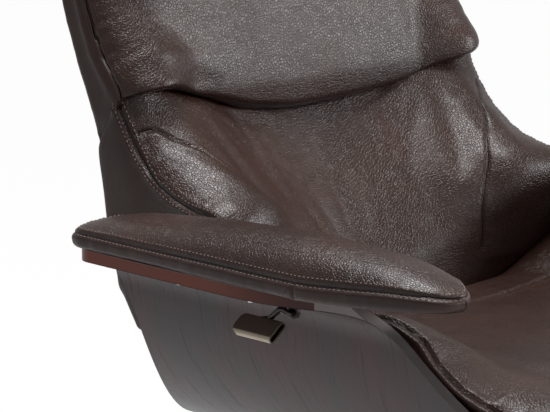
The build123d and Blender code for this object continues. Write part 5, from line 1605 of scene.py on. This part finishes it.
@dataclass
class LumbarCushion:
    """The lower back cushion: it fills the lap of the back and runs forward in two bolsters.

    Attributes:
        line: the lines of the back.
        across: places across at which a side view is given.
        views: top, face, knee, nose, under and foot of each side view, as depth and height.
        inner: half width at which the ends begin to round off.
        outer: half width over all.
        counts: points from the top to the knee, round the nose and down to the foot.
    """

    line: BackLine
    across: Row = (0, 90, 150, 178, 200, 225, 250)
    views: Sequence[Sequence[Row]] = (
        ((259, 651), (231, 612), (200, 565), (172, 525), (150, 497), (129, 458)),
        ((255, 661), (219, 615), (178, 572), (154, 538), (139, 510), (130, 458)),
        ((249, 679), (194, 622), (142, 582), (126, 556), (125, 527), (131, 458)),
        ((247, 687), (170, 623), (121, 592), (109, 570), (113, 542), (131, 458)),
        ((244, 694), (179, 633), (117, 594), (105, 574), (110, 547), (131, 458)),
        ((243, 698), (196, 631), (117, 594), (101, 576), (108, 548), (132, 458)),
        ((258, 694), (205, 620), (122, 592), (105, 577), (111, 549), (140, 458)),
    )
    inner: float = 238.0
    outer: float = 250.0
    counts: Sequence[int] = (40, 18, 24)

    def wing(self, x: float) -> np.ndarray:
        """The side view's points at a place across."""
        flat = np.array(self.views, float).reshape(len(self.across), -1)
        # The second view stands on both sides of the middle, so that there is no kink in between
        keys = (-self.across[1], *self.across)
        return through(keys, np.concatenate([flat[1:2], flat]), abs(x))[0].reshape(-1, 2)

    def front(self, x: float) -> np.ndarray:
        """Front line of the side view at a place across, from the top to the foot."""
        top, face, knee, nose, under, foot = self.wing(x)
        upper = arc(top, face, knee, self.counts[0])
        turn = arc(knee, nose, under, self.counts[1])
        down = even(np.array([under, foot]), self.counts[2])
        line = np.concatenate([upper, turn[1:], down[1:]])
        # Soften the two breaks
        for _ in range(10):
            line[1:-1] = (line[:-2] + 2 * line[1:-1] + line[2:]) / 4
        return line

    def shape(self) -> Grid:
        """Rings round the cushion from its right side to its left."""
        end = np.linspace(self.inner, self.outer, 5)[1:]
        spread = np.concatenate([-end[::-1], np.linspace(-self.inner, self.inner, 112), end])
        rings = []
        for x in spread:
            line = self.front(x)
            close = max(0.0, (abs(x) - self.inner) / (self.outer - self.inner))
            draw = 7 * (1 - math.sqrt(max(0.0, 1 - close**2)))
            heights = line[:, 1]
            outer = self.line.read("seam", np.clip(heights, 456, 686)) - 1
            inner = self.line.read("board", heights) - 2
            share = smoothstep(222, 248, abs(x))
            rear = np.maximum(line[:, 0] + 3, inner + (outer - inner) * share)
            front = line[:, 0] + draw
            one = np.column_stack([np.full(len(line), x), front, heights])
            two = np.column_stack([np.full(len(line), x), rear, heights])
            rings.append(np.concatenate([one, two[::-1]]))
        return closed(np.array(rings), (0.12, 0.3, 0.5, 0.75, 1.0), (-2.2, 0, 0), (2.2, 0, 0))

    def build(self, palette: Palette, sewing: Sewing) -> bpy.types.Object:
        """Makes the cushion with its bolsters.

        Args:
            palette: the finishes.
            sewing: makes the stitches.

        Returns:
            The cushion.
        """
        thing = wrapped(self.shape(), "lumbar_cushion_leather")
        puff(thing, self.held, cap=0.005, frames=14)
        refined(thing)
        hide = Hide(thing)
        front = smoothstep(8, 40, self.line.read("board", hide.co[:, 2] / MM) - hide.co[:, 1] / MM)
        hide.ripples(0.0028, (6, 6, 5), 41.0, front)
        hide.ripples(0.0011, (24, 14, 18), 17.5, front)
        hide.write()
        stitched = []
        for side in (-1, 1):
            edge = [
                (side * 252, 256, 686), (side * 252, 233, 651), (side * 252, 215, 629),
                (side * 252, 192, 610), (side * 252, 155, 598), (side * 252, 120, 592),
                (side * 252, 106, 578), (side * 252, 113, 549), (side * 252, 132, 495),
            ]
            path, normals = hide.onto(edge)
            hide.seam(path, depth=0.0014, width=0.0018, roll=0.0010, roll_at=0.0052, pucker=0.0016,
                      reach=0.016, pitch=0.010, seed=51.0 + side)
            stitched.append((f"side_{'right' if side < 0 else 'left'}", path, normals, (-0.0055, 0.0055)))
            bolster = [
                (side * 247, 231, 656), (side * 229, 221, 660), (side * 218, 203, 656),
                (side * 203, 188, 646), (side * 187, 167, 627), (side * 170, 151, 603),
                (side * 158, 138, 581), (side * 149, 136, 557), (side * 144, 138, 531),
                (side * 142, 136, 500),
            ]
            path, _ = hide.onto(bolster)
            full = side < 0
            hide.swell(stitched[-1][1], path, 0.012 if full else 0.003, 0.075)
            hide.write()
            path, _ = hide.onto(bolster)
            hide.seam(path, depth=0.0014 if full else 0.0004, width=0.0018, roll=0.0006 if full else 0,
                      roll_at=0.005, pucker=0.0004, reach=0.014, pitch=0.012, seed=61.0 + side)
        hide.done()
        settle(thing, "backrest", palette.pebbled, ["lower_back_cushion"])
        paint(thing, palette.smooth, lambda c: np.abs(c[:, 0]) > 0.2496)
        for name, path, normals, offsets in stitched:
            for number, offset in enumerate(offsets):
                row, up = hide.beside(path, normals, offset)
                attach(sewing.row(f"stitch_lumbar_{name}_{number}", row, up), "backrest")
        return thing

    def held(self, co: np.ndarray) -> np.ndarray:
        """How firmly each point is held while the cushion is blown up."""
        x, y, z = (co / MM).T
        side = smoothstep(2, 30, 250 - np.abs(x))
        behind = smoothstep(4, 24, self.line.read("board", z) - y)
        rise = smoothstep(500, 540, z)
        return 1 - 0.9 * side * behind * rise


@dataclass
class BackCover:
    """The cover that wraps the sides, top and rear of the back in smooth leather.

    Attributes:
        line: the lines of the back.
        corner: radius of its rear corners.
    """

    line: BackLine
    corner: float = 9.0

    def shape(self) -> Grid:
        """Rings round the cover from its bottom to its top."""
        crown = 1090 - 50 * (1 - np.sin(np.linspace(0, np.pi / 2, 26)[1:]))
        heights = np.concatenate([np.linspace(458, 1040, 120), crown])
        half = self.line.read("half", heights) + 0.6 - 4.0 * (1 - smoothstep(640, 672, heights))
        front = np.minimum(self.line.read("seam", heights), self.line.read("rear", heights) - 9)
        rear = self.line.read("rear", heights)
        board = self.line.read("board", heights)
        rings = []
        for height, w, a, b, inner in zip(heights, half, front, rear, board):
            radius = min(self.corner, (b - a) * 0.6)
            turn = np.linspace(0, np.pi / 2, 8)
            side = [(-w, y) for y in np.linspace(a, b - radius, 12)]
            bend = [(-w + radius - radius * math.cos(t), b - radius + radius * math.sin(t)) for t in turn[1:]]
            across = np.linspace(-w + radius, w - radius, 80)[1:-1]
            face = [(x, b + 7 * (1 - (x / w) ** 2)) for x in across]
            outer = side + bend + face + [(-x, y) for x, y in reversed(side + bend)]
            outer = np.array(outer)
            lining = np.minimum(np.maximum(outer[:, 1] - 6, 0), inner + 6)
            inside = np.column_stack([outer[:, 0] * 0.995, lining])
            inside[:, 1] = np.minimum(inside[:, 1], outer[:, 1])
            ring = np.concatenate([outer, inside[::-1]])
            rings.append(np.column_stack([ring[:, 0], ring[:, 1], np.full(len(ring), height)]))
        return closed(np.array(rings), (0.5, 1.0), (0, 0, -2), (0, 0, 0.5))

    def build(self, palette: Palette, sewing: Sewing) -> bpy.types.Object:
        """Makes the cover.

        Args:
            palette: the finishes.
            sewing: makes the stitches.

        Returns:
            The cover.
        """
        thing = wrapped(self.shape(), "back_cover_leather")
        hide = Hide(thing)
        hide.ripples(0.0016, (7, 7, 6), 71.0)
        hide.write()
        stitched = []
        for side in (-1, 1):
            heights = np.linspace(692, 1084, 60)
            half = self.line.read("half", heights)
            rough = np.column_stack([side * (half + 1), self.line.read("seam", heights) + 7, heights])
            path, normals = hide.onto(rough)
            stitched.append((f"{'right' if side < 0 else 'left'}", path, normals))
            edge, _ = hide.onto(rough - (0, 7, 0))
            hide.crease(edge, depth=0.0008, width=0.002, roll=0.0016, roll_at=0.0075, pucker=0.0016,
                        reach=0.02, pitch=0.016, seed=81.0 + side)
            heights = np.linspace(470, 1076, 60)
            half = self.line.read("half", heights)
            rough = np.column_stack([side * (half - 8), self.line.read("rear", heights) - 2, heights])
            path, _ = hide.onto(rough)
            hide.seam(path, depth=0.0014, width=0.002, roll=0.0008, roll_at=0.005, pucker=0.001, seed=91.0)
        hide.done()
        settle(thing, "backrest", palette.smooth, ["back_cover"])
        for name, path, normals in stitched:
            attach(sewing.row(f"stitch_cover_{name}", path, normals), "backrest")
        return thing


# ---------------------------------------------------------------- metal, wood and mechanism
@dataclass
class Chassis:
    """The rigid pieces, which keep their CAD shapes and get their finishes here."""

    palette: Palette

    def build(self) -> None:
        """Puts the finishes on every CAD node by its material slot."""
        for name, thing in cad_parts.items():
            for slot in thing.material_slots:
                chosen = next((s for s in Slot if slot.material.name.startswith(s.value)), None)
                if chosen is None:
                    log.info("node %s has no known slot: %s", name, slot.material.name)
                    continue
                slot.material = self.palette.metals.get(chosen, self.palette.pebbled)
            log.info("finished %s", name)


# ---------------------------------------------------------------- studio
@dataclass
class Studio:
    """Pale floor, white surroundings, soft lamps and the camera.

    Attributes:
        eye: place of the camera.
        target: point that it looks at.
        lens: focal length in millimetres.
        ambient: strength of the surroundings as a light.
        mirrored: share of their white that mirrored rays see.
        reach: half width of the floor.
    """

    eye: Row = (-2.4554, -2.3382, 1.2718)
    target: Row = (-0.250, 0.0267, 0.6139)
    lens: float = 228.96
    ambient: float = 0.15
    mirrored: float = 0.45
    reach: float = 9.0

    def lamp(self, name: str, place: Row, aim: Row, size: Row, power: float) -> None:
        """Adds a soft rectangular lamp aimed at a point."""
        data = bpy.data.lights.new(name, "AREA")
        data.shape = "RECTANGLE"
        data.size, data.size_y = size
        data.energy = power
        thing = bpy.data.objects.new(name, data)
        bpy.context.scene.collection.objects.link(thing)
        thing.location = place
        thing.rotation_euler = (Vector(aim) - Vector(place)).to_track_quat("-Z", "Y").to_euler()

    def surroundings(self) -> None:
        """White where it is seen or mirrored, moderate as a light."""
        world = bpy.data.worlds.new("surroundings")
        bpy.context.scene.world = world
        world.use_nodes = True
        tree = Nodes(world.node_tree)
        tree.tree.nodes.clear()
        dim = tree.node("ShaderNodeBackground", {}, {"Strength": self.ambient, "Color": (1, 1, 1)}, "shader")
        bright = tree.node("ShaderNodeBackground", {}, {"Strength": 1.0, "Color": (1, 1, 1)}, "shader")
        both = tree.node("ShaderNodeMixShader", {}, [self.seen(tree), dim, bright], "shader")
        tree.node("ShaderNodeOutputWorld", {}, {"Surface": both}, output=None)

    def seen(self, tree: "Nodes") -> Socket:
        """1 for rays from the camera or through glass, and a share of it for mirrored ones."""
        rays = [tree.node("ShaderNodeLightPath", {}, {}, output=f"Is {kind} Ray")
                for kind in ("Camera", "Glossy", "Transmission")]
        return rays[0].most(rays[1] * self.mirrored).most(rays[2])

    def floor(self) -> None:
        """A pale floor that turns white where it is seen, but keeps the object's shadow."""
        corners = [(x * self.reach, y * self.reach, 0) for x, y in ((-1, -1), (1, -1), (1, 1), (-1, 1))]
        thing = mesh_object("studio_floor", np.array(corners), [(0, 1, 2, 3)])
        s = Shade("studio_floor")
        s.finish(Base_Color=(0.88, 0.88, 0.88), Roughness=0.85)
        glow = s.node("ShaderNodeEmission", {}, {"Strength": 1.0}, "shader")
        share = self.seen(s) * 0.97
        plain = Socket(s, s.shader.outputs[0], "shader")
        both = s.node("ShaderNodeMixShader", {}, [share, plain, glow], "shader")
        s.feed(s.tree.nodes["Material Output"].inputs[0], both)
        thing.data.materials.append(s.material)

    def camera(self) -> None:
        """The camera at the photograph's place."""
        data = bpy.data.cameras.new("camera")
        data.lens = self.lens
        data.sensor_width = 36
        data.clip_end = 60
        thing = bpy.data.objects.new("camera", data)
        bpy.context.scene.collection.objects.link(thing)
        thing.location = self.eye
        thing.rotation_euler = (Vector(self.target) - Vector(self.eye)).to_track_quat("-Z", "Y").to_euler()
        bpy.context.scene.camera = thing

    def build(self) -> None:
        """Builds everything round the object."""
        bpy.context.scene.view_settings.view_transform = "Standard"
        self.camera()
        self.surroundings()
        self.floor()
        self.lamp("overhead", (-0.15, 0.3, 3.0), (-0.2, 0.0, 0.6), (1.2, 1.5), 122)
        self.lamp("front", (-1.1, -2.9, 1.75), (-0.1, 0.0, 0.62), (1.0, 1.0), 20)
        self.lamp("front_left", (2.3, -2.2, 1.7), (0.0, 0.0, 0.8), (2.0, 1.8), 150)
        log.info("studio ready")


def main() -> None:
    """Builds the pieces in order and reports each."""
    Studio().build()
    palette = Palette()
    sewing = Sewing(palette)
    Chassis(palette).build()
    line = BackLine()
    for side in (-1, 1):
        ArmPad(side).build(palette, sewing)
    SeatCushion().build(palette, sewing)
    LumbarCushion(line).build(palette, sewing)
    UpperPillow(line).build(palette, sewing)
    BackCover(line).build(palette, sewing)


if __name__ == "__main__":
    main()
